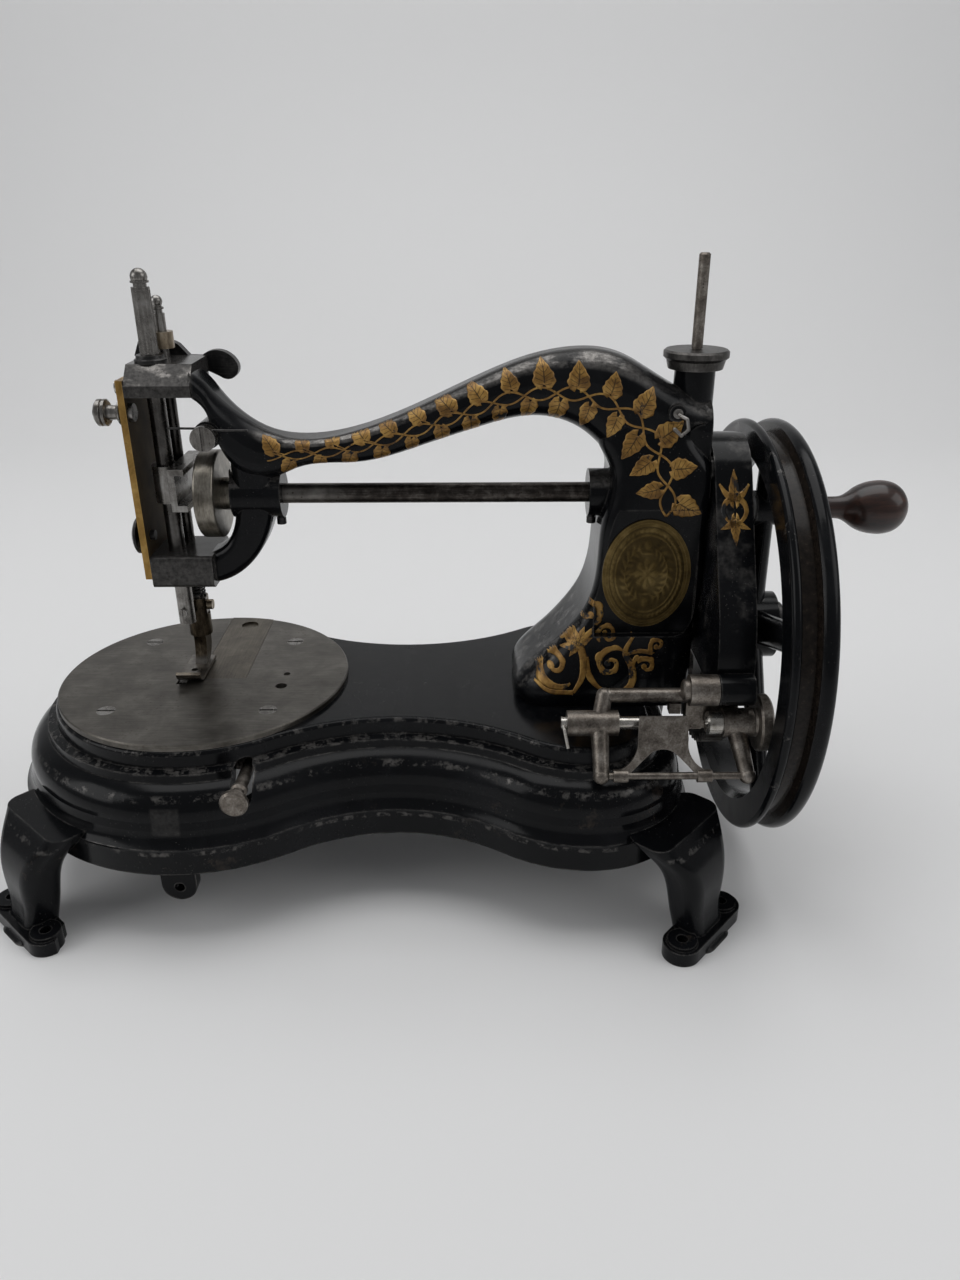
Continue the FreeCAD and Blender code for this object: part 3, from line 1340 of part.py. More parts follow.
def thread_saddle():
    """A sheet guide with an arch, rolled round the rod at both ears."""
    x0 = saddle_left
    x1 = saddle_left + saddle_width
    middle = (x0 + x1) / 2
    height = 23.0
    ear = 5.4
    face = trace(
        (x0, 0), [(x0 + ear, 0), (middle - 8.5, 5, middle - 5, 8.5), (middle, 10.4, middle + 5, 8.5),
        (middle + 8.5, 5, x1 - ear, 0), (x1, 0),
         (x1, 1.5), (x1 - 6.5, 5.5, x1 - 9, 14), (x1 - 9.5, height), (x0 + 9.5, height), (x0 + 9, 14),
         (x0 + 6.5, 5.5, x0, 1.5), (x0, 0)],
        on_xz(0))
    sheet = Part.Face(face).extrude(along_y * 1.2)
    sheet.translate(V(0, -0.6, 0))
    sleeves = [rod(V(x, 0, 0), V(x + ear, 0, 0), rod_radius + 1.1) for x in (x0, x1 - ear)]
    shape = join(sheet, *sleeves)
    shape.rotate(V(0, 0, 0), along_x, -17)
    shape.translate(V(0, rod_y, rod_z))
    return shape.cut(rod(V(x0 - 1, rod_y, rod_z), V(x1 + 1, rod_y, rod_z), rod_radius + run_gap))


# Spool post, badge, hook, take-up and fasteners
def spool_collar():
    h = collar_top - post_top
    steps = [
        (0, collar_radius - 2), (h * 0.45, collar_radius - 1.2), (h * 0.62, collar_radius), (h - 0.7,
        collar_radius), (h, collar_radius - 0.8),
        (h, spool_tenon_radius + seat_gap), (0, spool_tenon_radius + seat_gap)]
    return turned((0, spool_tenon_radius + seat_gap), steps, V(post_x, 0, post_top), along_z)


def spool_pin():
    """A round-topped pin whose thinner tenon passes the seat into the post."""
    base = post_top - spool_tenon_depth
    top = spool_pin_top - base
    shoulder = collar_top + clear_gap - base
    steps = [
        (0, spool_tenon_radius), (shoulder, spool_tenon_radius), (shoulder, spool_pin_radius),
        (top - 0.6, spool_pin_radius), (top, spool_pin_radius - 0.6), (top, 0), (0, 0)]
    return turned((0, 0), steps, V(post_x, 0, base), along_z)


def badge_plate():
    """A bare oval plate with a raised border."""
    centre = V(badge_x, badge_seat, badge_z)

    def ellipse(inset, depth):
        ring = Part.Ellipse(V(0, 0, 0), badge_height / 2 - inset, badge_width / 2 - inset).toShape()
        ring.rotate(V(0, 0, 0), along_z, 90)
        ring.rotate(V(0, 0, 0), along_x, 90)
        ring.translate(centre - along_y * depth)
        return Part.Face(Part.Wire(ring))
    plate = ellipse(0, 0).extrude(along_y * -badge_thickness)
    return plate.cut(ellipse(1.4, badge_thickness - 0.3).extrude(along_y * -1))


def thread_hook():
    """A bent wire eye held in the boss beside the spool post."""
    root = V(hook_x, hook_y, hook_z)
    wire = 0.7
    spots = [root, root - along_y * 3, root + V(2.6, -5, -1.2), root + V(3.4, -5, -5), root + V(1,
        -4.6, -7.4), root + V(-1.6, -4.2, -5)]
    pieces = []
    for start, end in zip(spots, spots[1:]):
        pieces.append(rod(start, end, wire))
        pieces.append(ball(end, wire))
    flange = rod(root, root - along_y * 0.8, 1.8)
    return join(flange, *pieces)


def take_up_screw():
    """A shoulder screw: flange on the arm, room for the curls, slotted head."""
    flange_front = take_up_seat - 0.8
    seat = V(take_up_x, flange_front - take_up_coil_length, take_up_z)
    head = slotted_screw(seat, along_y * -1, 4.8, 2.0, 2.4, take_up_coil_length + 9)
    flange = rod(V(take_up_x, take_up_seat, take_up_z), V(take_up_x, flange_front, take_up_z), 4.4)
    return join(head, flange)


def take_up_spring():
    """Two curls round the shoulder screw, with a leg to each side."""
    wire = 0.45
    radius = 2.4 + wire + run_gap
    turns = 2
    pitch = -1.4
    low = take_up_seat - 0.8 - wire - clear_gap
    points = []
    for step in range(8 * turns + 1):
        angle = math.pi / 2 - math.pi / 4 * step
        points.append(V(take_up_x + radius * math.cos(angle), low + pitch * step / 8,
            take_up_z + radius * math.sin(angle)))
    edges = [Part.Arc(points[2 * i], points[2 * i + 1],
        points[2 * i + 2]).toShape() for i in range(4 * turns)]
    first = edges[0].tangentAt(edges[0].FirstParameter)
    last = edges[-1].tangentAt(edges[-1].LastParameter)
    lead_in = Part.LineSegment(points[0] - first * 14.5, points[0]).toShape()
    lead_out = Part.LineSegment(points[-1], points[-1] + last * 17).toShape()
    print("take-up least gap %.2f mm" % (least_gap(points) - 2 * wire))
    return piped([lead_in] + edges + [lead_out], wire)


def arm_bolts():
    under = bed_top - bed_plate_wall
    bolts = []
    for x, y in arm_bolt_places:
        head = Part.Face(Part.makePolygon([V(x + 5.2 * math.cos(math.radians(60 * k)),
            y + 5.2 * math.sin(math.radians(60 * k)), under) for k in range(7)]))
        bolts.append(join(head.extrude(along_z * -4), rod(V(x, y, under - 1), V(x, y, bed_top + 11),
            3)))
    return bolts


keep("bed_casting", bed_casting())
keep("arm_casting", arm_casting())
keep("arm_bolts", *arm_bolts())
keep("stitch_plate", stitch_plate())
keep("plate_screws", *plate_screws())
keep("slide_plate", slide_plate())
keep("shuttle_race", shuttle_race())
keep("shuttle_carrier", shuttle_carrier())
keep("shuttle", shuttle())
keep("bobbin", bobbin())
keep("shuttle_lever", shuttle_lever())
keep("shuttle_stud", shuttle_stud())
keep("feed_bar", feed_bar())
keep("regulator_shaft", regulator_shaft())
keep("regulator_lever", regulator_lever())
keep("under_brackets", *(feed_guides() + regulator_bracket()))
keep("face_plate", face_plate())
keep("face_screws", *face_screws())
keep("tension_stud", tension_stud())
keep("tension_discs", *tension_discs())
keep("tension_nut", tension_nut())
keep("thread_check", thread_check())
keep("needle_bar", needle_bar())
keep("needle_screw", needle_screw())
keep("needle_bush", needle_bush())
keep("needle_yoke", needle_yoke())
keep("presser_bar", presser_bar())
keep("presser_collar", presser_collar())
keep("presser_foot", presser_foot())
keep("foot_screw", foot_screw())
keep("presser_spring", presser_spring())
keep("lifter_lever", lifter_lever())
keep("lifter_pin", lifter_pin())
keep("upper_shaft", upper_shaft())
keep("crank_disc", crank_disc())
keep("crank_roller", crank_roller())
keep("pinion", pinion())
keep("drive_gear", drive_gear())
keep("gear_screws", *gear_screws())
keep("hand_wheel", hand_wheel())
keep("wheel_axle", wheel_axle())
keep("handle_bolt", handle_bolt())
keep("handle_grip", handle_grip())
keep("gear_guard", gear_guard())
keep("guard_screws", *guard_screws())
keep("winder_frame", winder_frame())
keep("winder_screw", winder_screw())
keep("winder_pivot", winder_pivot())
keep("winder_rod", winder_rod())
keep("winder_spindle", winder_spindle())
keep("winder_pulley", winder_pulley())
keep("tail_spindle", tail_spindle())
keep("thread_saddle", thread_saddle())
keep("spool_collar", spool_collar())
keep("spool_pin", spool_pin())
keep("badge_plate", badge_plate())
keep("thread_hook", thread_hook())
keep("take_up_screw", take_up_screw())
keep("take_up_spring", take_up_spring())
keep("set_screws", *set_screws())

whole = Part.makeCompound(list(nodes.values())).BoundBox
print("box X %.2f %.2f  Y %.2f %.2f  Z %.2f %.2f" % (whole.XMin, whole.XMax, whole.YMin, whole.YMax,
    whole.ZMin, whole.ZMax))
for name, shape in nodes.items():
    shape.exportStep("parts/%s.step" % name)
    if not shape.isValid() or shape.Volume <= 0:
        print("check", name, shape.isValid(), round(shape.Volume, 2))
print("%d nodes" % len(nodes))
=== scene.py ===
import math
import bpy
import numpy as np
from mathutils import Matrix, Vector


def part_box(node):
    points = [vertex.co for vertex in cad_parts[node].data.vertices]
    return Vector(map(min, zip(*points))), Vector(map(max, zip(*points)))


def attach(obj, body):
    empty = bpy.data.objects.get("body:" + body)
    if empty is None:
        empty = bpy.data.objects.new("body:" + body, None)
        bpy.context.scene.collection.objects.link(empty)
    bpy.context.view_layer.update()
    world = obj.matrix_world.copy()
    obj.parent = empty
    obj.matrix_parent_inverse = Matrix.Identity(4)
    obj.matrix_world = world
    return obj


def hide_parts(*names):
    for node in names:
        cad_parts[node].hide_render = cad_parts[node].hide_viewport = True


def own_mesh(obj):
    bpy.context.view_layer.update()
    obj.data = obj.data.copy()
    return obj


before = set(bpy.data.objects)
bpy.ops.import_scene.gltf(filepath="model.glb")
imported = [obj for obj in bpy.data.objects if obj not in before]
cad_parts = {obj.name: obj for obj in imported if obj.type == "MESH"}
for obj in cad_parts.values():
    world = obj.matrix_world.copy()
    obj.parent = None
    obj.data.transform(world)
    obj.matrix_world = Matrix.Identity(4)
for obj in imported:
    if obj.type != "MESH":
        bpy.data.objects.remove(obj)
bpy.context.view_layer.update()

scene = bpy.context.scene
scene.view_settings.view_transform = "Standard"
millimetre = 0.001
uvPerMetre = 10
print("frame loaded with", len(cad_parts), "nodes")


# Camera at the photograph's place: pinhole of 962 pixels on a frame 1280 high
cameraPlan = {
    "place": (0.01425, -0.377, 0.271), "tilt": 65.06, "roll": -0.24,
    "focalPixels": 962, "framePixels": 1280, "sensor": 36, "nearest": 0.01,
}


def makeCamera(plan):
    lensData = bpy.data.cameras.new("photoCamera")
    lensData.sensor_width = plan["sensor"]
    lensData.lens = plan["focalPixels"] * plan["sensor"] / plan["framePixels"]
    lensData.clip_start = plan["nearest"]
    viewer = bpy.data.objects.new("photoCamera", lensData)
    tilt = Matrix.Rotation(math.radians(plan["tilt"]), 4, "X")
    roll = Matrix.Rotation(math.radians(plan["roll"]), 4, "Z")
    viewer.matrix_world = Matrix.Translation(plan["place"]) @ (tilt @ roll)
    scene.collection.objects.link(viewer)
    scene.camera = viewer


makeCamera(cameraPlan)
print("camera set")

# Pale sweep and soft lamps
stagePlan = {
    "halfWidth": 9.0, "front": -9.0, "back": 0.75, "rise": 3.0, "bend": 0.5, "bendSteps": 24,
    "shade": (0.79, 0.79, 0.79), "rough": 0.6,
}
lampPlan = {  # place, aim, size and watts
    "overheadSoftbox": ((0.0, 0.25, 1.5), (0.0, 0.05, 0.1), (1.6, 1.2), 13),
    "leftSoftbox": ((-1.3, -0.5, 0.8), (0, 0, 0.1), (0.9, 0.9), 5),
    "rightSoftbox": ((1.3, -0.4, 0.9), (0, 0, 0.1), (0.9, 0.9), 4),
}
worldPlan = {"colour": (0.8, 0.81, 0.83, 1), "strength": 0.30}


def makeSweep(plan):
    # level run, quarter-round bend and upright as one profile carried across in X
    turn = np.linspace(0, math.pi / 2, plan["bendSteps"])
    wall = plan["back"] + plan["bend"]
    y = np.concatenate([[plan["front"]], plan["back"] + plan["bend"] * np.sin(turn), [wall]])
    z = np.concatenate([[0.0], plan["bend"] * (1 - np.cos(turn)), [plan["rise"]]])
    x = np.array([-plan["halfWidth"], plan["halfWidth"]])
    grid = np.stack(np.broadcast_arrays(x[:, None], y[None, :], z[None, :]), -1).reshape(-1, 3)
    n = len(y)
    k = np.arange(n - 1)
    faces = np.stack([k, k + n, k + n + 1, k + 1], 1)
    mesh = bpy.data.meshes.new("sweep")
    mesh.from_pydata(grid.tolist(), [], faces.tolist())
    mesh.polygons.foreach_set("use_smooth", np.ones(len(faces), bool))
    sweep = bpy.data.objects.new("sweep", mesh)
    scene.collection.objects.link(sweep)
    paint = bpy.data.materials.new("sweepPaint")
    paint.use_nodes = True
    shader = paint.node_tree.nodes["Principled BSDF"]
    shader.inputs["Base Color"].default_value = (*plan["shade"], 1)
    shader.inputs["Roughness"].default_value = plan["rough"]
    mesh.materials.append(paint)


def makeLamp(name, place, aim, size, watts):
    lampData = bpy.data.lights.new(name, "AREA")
    lampData.shape = "RECTANGLE"
    lampData.size, lampData.size_y = size
    lampData.energy = watts
    lamp = bpy.data.objects.new(name, lampData)
    lamp.location = place
    look = np.array(aim) - np.array(place)
    lean = math.atan2(math.hypot(look[0], look[1]), -look[2])
    lamp.rotation_euler = (lean, 0, math.atan2(-look[0], look[1]))
    scene.collection.objects.link(lamp)


def makeWorld(plan):
    world = bpy.data.worlds.new("room")
    world.use_nodes = True
    sky = world.node_tree.nodes["Background"]
    sky.inputs["Color"].default_value = plan["colour"]
    sky.inputs["Strength"].default_value = plan["strength"]
    scene.world = world


makeSweep(stagePlan)
for name, settings in lampPlan.items():
    makeLamp(name, *settings)
makeWorld(worldPlan)
print("stage and lamps set")


class paintPot:
    # short calls that add nodes to one material; patterns lie on Object coordinates in metres
    def __init__(self, name):
        self.material = bpy.data.materials.new(name)
        self.material.use_nodes = True
        self.tree = self.material.node_tree
        self.shader = self.tree.nodes["Principled BSDF"]
        self.source = self.tree.nodes.new("ShaderNodeTexCoord")
        self.place = self.source.outputs["Object"]

    def feed(self, socket, value):
        if isinstance(value, bpy.types.NodeSocket):
            self.tree.links.new(value, socket)
        elif isinstance(value, tuple) and len(value) == 3 and socket.type == "RGBA":
            socket.default_value = (*value, 1)
        else:
            socket.default_value = value

    def add(self, kind, settings=None, **inputs):
        node = self.tree.nodes.new(kind)
        for key, value in (settings or {}).items():
            setattr(node, key, value)
        for key, value in inputs.items():
            self.feed(node.inputs[key], value)
        return node

    def noise(self, scale, detail=3.0, rough=0.55, stretch=None, warp=0.0):
        # plans hold these settings in this order
        place = self.place
        if stretch is not None:
            place = self.add("ShaderNodeMapping", Vector=place, Scale=stretch).outputs[0]
        node = self.add("ShaderNodeTexNoise", Vector=place, Scale=scale, Detail=detail, Roughness=rough,
            Distortion=warp)
        return node.outputs[0]

    def spots(self, scale, core, rim):
        cells = self.add("ShaderNodeTexVoronoi", Vector=self.place, Scale=scale)
        return self.band(cells.outputs["Distance"], rim, core)

    def band(self, value, low, high):
        # 0 at low, 1 at high, smooth between
        node = self.add("ShaderNodeMapRange", {"interpolation_type": "SMOOTHSTEP"}, Value=value)
        node.inputs[1].default_value = low
        node.inputs[2].default_value = high
        return node.outputs[0]

    def patch(self, noise, limits):
        # noise cut to islands between two levels
        return self.band(self.noise(*noise), *limits)

    def span(self, value, low, high):
        # 0 to 1 carried to low to high
        node = self.add("ShaderNodeMapRange", Value=value)
        node.inputs[3].default_value = low
        node.inputs[4].default_value = high
        return node.outputs[0]

    def sum(self, operation, first, second=0.0):
        node = self.add("ShaderNodeMath", {"operation": operation})
        self.feed(node.inputs[0], first)
        self.feed(node.inputs[1], second)
        return node.outputs[0]

    def times(self, *values):
        result = values[0]
        for value in values[1:]:
            result = self.sum("MULTIPLY", result, value)
        return result

    def away(self, value, middle):
        return self.sum("ABSOLUTE", self.sum("SUBTRACT", value, middle))

    def mix(self, share, first, second):
        node = self.add("ShaderNodeMix", {"data_type": "RGBA"})
        self.feed(node.inputs[0], share)
        self.feed(node.inputs[6], first)  # 6 and 7 are the colour sockets
        self.feed(node.inputs[7], second)
        return node.outputs[2]

    def tint(self, value, stops):
        node = self.add("ShaderNodeValToRGB", Fac=value)
        ramp = node.color_ramp.elements
        while len(ramp) < len(stops):
            ramp.new(0.5)
        for element, (at, colour) in zip(ramp, stops):
            element.position = at
            element.color = (*colour, 1)
        return node.outputs[0]

    def threeTone(self, value, stops, plan):
        return self.tint(value, list(zip(stops, (plan["dark"], plan["mid"], plan["light"]))))

    def axis(self, letter):
        return self.add("ShaderNodeSeparateXYZ", Vector=self.place).outputs[letter]

    def facing(self, direction):
        geometry = self.add("ShaderNodeNewGeometry")
        node = self.add("ShaderNodeVectorMath", {"operation": "DOT_PRODUCT"})
        self.feed(node.inputs[0], geometry.outputs["Normal"])
        self.feed(node.inputs[1], direction)
        return node.outputs["Value"]

    def edges(self, radius, soft=0.02, hard=0.22):
        # rounded normal against the true one: near 1 on an edge
        rounded = self.add("ShaderNodeBevel", {"samples": 4}, Radius=radius)
        return self.band(self.facing(rounded.outputs[0]), 1 - soft, 1 - hard)

    def brighten(self, colour, light, radius, share, gain):
        # edges rubbed lighter than the light tone
        return self.mix(self.times(self.edges(radius), share), colour, scaled(light, gain))

    def bump(self, height, strength, depth):
        node = self.add("ShaderNodeBump", Strength=strength, Distance=depth, Height=height)
        self.feed(self.shader.inputs["Normal"], node.outputs[0])

    def finish(self, colour, metallic, roughness, specular=0.5):
        self.feed(self.shader.inputs["Base Color"], colour)
        self.feed(self.shader.inputs["Metallic"], metallic)
        self.feed(self.shader.inputs["Roughness"], roughness)
        self.shader.inputs["Specular IOR Level"].default_value = specular
        return self.material


def scaled(colour, gain):
    return tuple(min(1, gain * c) for c in colour)


# Black japan over cast iron: deep gloss, haze, dust specks, chips and edges rubbed to grey iron
japanPlan = {
    "deep": (0.0026, 0.0029, 0.0036), "haze": (0.0085, 0.009, 0.0105), "dust": (0.12, 0.115, 0.105),
    "iron": (0.20, 0.19, 0.18), "ironShade": 0.42, "ironStops": (0.30, 0.62), "ironMetal": 0.85,
    "hazePatch": ((26, 4, 0.62, None, 0.4), (0.44, 0.72)), "hazeShare": 0.6, "fineNoise": (700, 3, 0.6),
    "dustScale": 620.0, "dustSize": (0.05, 0.16), "dustPatch": ((38, 2), (0.46, 0.64)), "dustShare": 0.5,
    "edgeRadius": 0.0011, "edgePatch": ((160, 4, 0.7), (0.36, 0.62)), "edgeShare": 0.75,
    "chipPatch": ((75.0, 5, 0.72), (0.70, 0.735)), "chipShare": 0.55,
    "gloss": (0.14, 0.38), "glossHaze": 0.45, "glossFine": 0.3, "specular": 0.15,
    "waveNoise": (210, 3), "waveShare": 0.6, "ironDepth": 0.5, "bump": (0.16, 0.0004),
}


def mixJapan(name, plan, bare=None, stain=None):
    pot = paintPot(name)
    haze = pot.patch(*plan["hazePatch"])
    fine = pot.noise(*plan["fineNoise"])
    specks = pot.times(pot.spots(plan["dustScale"], *plan["dustSize"]), pot.patch(*plan["dustPatch"]))
    rub = pot.times(pot.edges(plan["edgeRadius"]), pot.patch(*plan["edgePatch"]), plan["edgeShare"])
    chips = pot.patch(*plan["chipPatch"])
    iron = pot.sum("MAXIMUM", rub, pot.times(chips, plan["chipShare"]))
    # for the arm, bare also holds painted highlight on faces turned up and to the front
    if bare:
        iron = pot.sum("MAXIMUM", iron, bare(pot))
    colour = pot.mix(pot.times(haze, plan["hazeShare"]), plan["deep"], plan["haze"])
    colour = pot.mix(pot.times(specks, plan["dustShare"]), colour, plan["dust"])
    ironTones = (scaled(plan["iron"], plan["ironShade"]), plan["iron"])
    colour = pot.mix(iron, colour, pot.tint(fine, list(zip(plan["ironStops"], ironTones))))
    if stain:
        colour = stain(pot, colour)
    dull = pot.sum("ADD", pot.times(haze, plan["glossHaze"]), pot.times(fine, plan["glossFine"]))
    wave = pot.times(pot.noise(*plan["waveNoise"]), plan["waveShare"])
    pot.bump(pot.sum("SUBTRACT", wave, pot.times(iron, plan["ironDepth"])), *plan["bump"])
    metal = pot.times(iron, plan["ironMetal"])
    return pot.finish(colour, metal, pot.span(dull, *plan["gloss"]), plan["specular"])


armPlan = {
    "head": {"edge": (-0.0925, -0.0945), "noise": (240, 4, 0.65), "span": (0.25, 0.95), "share": 0.55},
    "faces": [  # stripe where the arm's top turns to the front and the crown, each partly scuffs and partly painted highlight; the toe lighter grey on faces turned up and to the left
        {"facing": (0.0, -0.62, 0.785), "turn": (0.87, 0.975), "height": (0.160, 0.168),
            "noise": (130, 5, 0.72, (0.45, 1, 1)), "band": (0.36, 0.58), "share": 0.9},
        {"facing": (0.0, -0.25, 0.968), "turn": (0.80, 0.94), "height": (0.160, 0.167),
            "noise": (190, 5, 0.72), "span": (0.02, 0.34), "share": 1.0},
        {"facing": (-0.75, -0.3, 0.6), "turn": (0.86, 0.97), "height": (0.125, 0.112),
            "noise": (170, 5, 0.75), "band": (0.46, 0.66), "share": 0.6},
    ],
}


def armWearAndHighlight(pot):
    # head blocks rubbed to dark steel, then faces that look one way from one height on, lightened to grey
    # partly as scuffs and partly as painted highlight
    head = armPlan["head"]
    worn = pot.times(pot.band(pot.axis("X"), *head["edge"]),
        pot.span(pot.noise(*head["noise"]), *head["span"]), head["share"])
    for part in armPlan["faces"]:
        broken = pot.noise(*part["noise"])
        broken = pot.span(broken, *part["span"]) if "span" in part else pot.band(broken, *part["band"])
        turned = pot.band(pot.facing(part["facing"]), *part["turn"])
        level = pot.band(pot.axis("Z"), *part["height"])
        worn = pot.sum("MAXIMUM", worn, pot.times(turned, level, broken, part["share"]))
    return worn


guardPlan = {"patch": ((48, 4, 0.68), (0.52, 0.70)), "share": 0.3}


def guardWear(pot):
    # grey bald patches all over the guard
    return pot.times(pot.patch(*guardPlan["patch"]), guardPlan["share"])


bedPlan = {
    "filed": {"middle": {"X": -0.1055, "Z": 0.0548}, "half": {"X": (0.0060, 0.0046), "Z": (0.0060, 0.0048)},
        "front": (-0.05, -0.055), "noise": (310, 4, 0.7), "span": (0.02, 0.22)},
    "lines": [(0.0765, 0.0011), (0.0705, 0.0013), (0.0630, 0.0016), (0.0425, 0.0014)],  # height, reach
    "linePatch": ((210, 5, 0.76), (0.50, 0.62)), "lineCore": 0.3, "lineShare": 0.5,
}


def bedWear(pot):
    # small filed rectangle on the front of the moulding, left of the lug
    filed = bedPlan["filed"]
    across, up = [pot.band(pot.away(pot.axis(letter), filed["middle"][letter]), *filed["half"][letter])
        for letter in "XZ"]
    worn = pot.times(across, up, pot.band(pot.axis("Y"), *filed["front"]),
        pot.span(pot.noise(*filed["noise"]), *filed["span"]))
    # beads and the crest of the roll are rubbed in broken lines
    height = pot.axis("Z")
    broken = pot.patch(*bedPlan["linePatch"])
    for crest, reach in bedPlan["lines"]:
        line = pot.band(pot.away(height, crest), reach, bedPlan["lineCore"] * reach)
        worn = pot.sum("MAXIMUM", worn, pot.times(line, broken, bedPlan["lineShare"]))
    return worn


rustPlan = {
    "bloomPatch": ((42, 5, 0.74), (0.60, 0.68)), "height": (0.068, 0.055), "share": 0.55,
    "grain": (380, 4, 0.7), "tones": [(0.34, (0.012, 0.010, 0.009)), (0.66, (0.060, 0.046, 0.036))],
}


def bedRust(pot, colour):
    # brown blooms where damp took the skirt
    plan = rustPlan
    bloom = pot.times(pot.patch(*plan["bloomPatch"]),
        pot.band(pot.axis("Z"), *plan["height"]), plan["share"])
    return pot.mix(bloom, colour, pot.tint(pot.noise(*plan["grain"]), plan["tones"]))


wheelPlan = {
    "axle": (0, 0, 0.1029), "flakePatch": ((120, 5, 0.74), (0.60, 0.64)),
    "flakeReach": (0.080, 0.084), "flakeSide": (0.1250, 0.1235), "flakeShare": 0.5,
    "grooveReach": [(0.0852, 0.0838), (0.079, 0.0795)], "grooveSides": [(0.1240, 0.1246), (0.1320, 0.1314)],
    "grooveShare": 0.9, "rustNoise": (420, 4, 0.7),
    "rustTones": [(0.34, (0.009, 0.007, 0.006)), (0.62, (0.024, 0.018, 0.014)),
        (0.80, (0.085, 0.066, 0.050))],
}


def axleReach(pot):
    # distance from the wheel's axle, which lies along X
    flat = pot.add("ShaderNodeVectorMath", {"operation": "SUBTRACT"})
    pot.feed(flat.inputs[0], pot.place)
    flat.inputs[1].default_value = wheelPlan["axle"]
    squash = pot.add("ShaderNodeVectorMath", {"operation": "MULTIPLY"})
    pot.feed(squash.inputs[0], flat.outputs[0])
    squash.inputs[1].default_value = (0, 1, 1)
    reach = pot.add("ShaderNodeVectorMath", {"operation": "LENGTH"})
    pot.feed(reach.inputs[0], squash.outputs[0])
    return reach.outputs["Value"]


def rimWear(pot):
    # japan flaked off the rim's inner shoulder in small islands
    flakes = pot.patch(*wheelPlan["flakePatch"])
    return pot.times(flakes, pot.band(axleReach(pot), *wheelPlan["flakeReach"]),
        pot.band(pot.axis("X"), *wheelPlan["flakeSide"]), wheelPlan["flakeShare"])


def beltStain(pot, colour):
    # brown-black belt rubbing in the wheel's groove
    reach = axleReach(pot)
    groove = pot.times(*[pot.band(reach, *edge) for edge in wheelPlan["grooveReach"]],
        *[pot.band(pot.axis("X"), *edge) for edge in wheelPlan["grooveSides"]])
    rust = pot.tint(pot.noise(*wheelPlan["rustNoise"]), wheelPlan["rustTones"])
    return pot.mix(pot.times(groove, wheelPlan["grooveShare"]), colour, rust)


# Aged steels: mottled tone, pits, drawn streaks and brightened edges
steelColumns = ("dark", "mid", "light", "rust", "mottle", "pits", "pitShare", "rough", "streak")
steelRows = {
    "stitchPlate": ((0.060, 0.055, 0.048), (0.102, 0.094, 0.083), (0.17, 0.16, 0.143),
        (0.055, 0.04, 0.028), 62, 420, 0.5, (0.3, 0.52), (0.05, 1, 1)),
    "slidePlate": ((0.055, 0.047, 0.037), (0.100, 0.087, 0.069), (0.165, 0.146, 0.121),
        (0.06, 0.04, 0.025), 70, 380, 0.5, (0.3, 0.5), (1, 0.05, 1)),
    "brightSteel": ((0.085, 0.079, 0.073), (0.19, 0.18, 0.168), (0.36, 0.35, 0.335),
        (0.07, 0.055, 0.042), 120, 700, 0.45, (0.2, 0.42), (1, 1, 0.06)),
    "darkSteel": ((0.018, 0.018, 0.019), (0.042, 0.041, 0.041), (0.10, 0.096, 0.092),
        (0.035, 0.026, 0.02), 130, 600, 0.5, (0.28, 0.5), (0.1, 1, 1)),
    "shaftSteel": ((0.016, 0.0135, 0.012), (0.042, 0.036, 0.032), (0.13, 0.118, 0.107),
        (0.028, 0.018, 0.013), 240, 520, 0.75, (0.28, 0.55), (0.08, 1, 1)),
    "speckledSteel": ((0.070, 0.060, 0.052), (0.165, 0.145, 0.125), (0.33, 0.305, 0.275),
        (0.045, 0.033, 0.025), 210, 620, 0.8, (0.32, 0.58), (1, 1, 1)),
    "bronzeSteel": ((0.13, 0.10, 0.07), (0.255, 0.205, 0.145), (0.43, 0.37, 0.285),
        (0.06, 0.04, 0.022), 110, 500, 0.4, (0.24, 0.45), (1, 0.2, 0.2)),
    "discSteel": ((0.095, 0.085, 0.070), (0.205, 0.187, 0.157), (0.38, 0.355, 0.31),
        (0.055, 0.04, 0.026), 110, 500, 0.4, (0.24, 0.45), (1, 0.2, 0.2)),
    "dullNickel": ((0.20, 0.18, 0.155), (0.42, 0.40, 0.365), (0.62, 0.60, 0.57),
        (0.09, 0.065, 0.042), 150, 650, 0.4, (0.16, 0.38), (0.3, 1, 1)),
    "gearIron": ((0.030, 0.028, 0.026), (0.075, 0.070, 0.064), (0.17, 0.16, 0.15),
        (0.05, 0.034, 0.024), 170, 500, 0.55, (0.32, 0.55), (1, 1, 1)),
    "collarSteel": ((0.035, 0.033, 0.031), (0.075, 0.071, 0.067), (0.16, 0.153, 0.145),
        (0.05, 0.038, 0.03), 140, 520, 0.5, (0.34, 0.55), (1, 1, 0.3)),
    "footBronze": ((0.022, 0.017, 0.012), (0.058, 0.044, 0.029), (0.15, 0.12, 0.082),
        (0.02, 0.014, 0.009), 170, 500, 0.5, (0.22, 0.42), (1, 1, 0.15)),
}
steelPlans = {name: dict(zip(steelColumns, row)) for name, row in steelRows.items()}
footPlan = steelPlans.pop("footBronze")
steelMix = {
    "cloud": (5, 0.66, None, 0.3), "cloudShare": 0.72,
    "streak": (1500, 2, 0.5), "streakShare": 0.28, "stops": (0.34, 0.50, 0.68),
    "pitSize": (0.08, 0.26), "pitSpread": 0.6, "pitDetail": 3, "pitBand": (0.42, 0.62),
    "edge": (0.0005, 0.45, 1.35), "metal": 0.92,
    "roughCloud": 0.7, "roughPits": 0.5, "streakDepth": 0.25, "bump": (0.22, 0.00025),
}


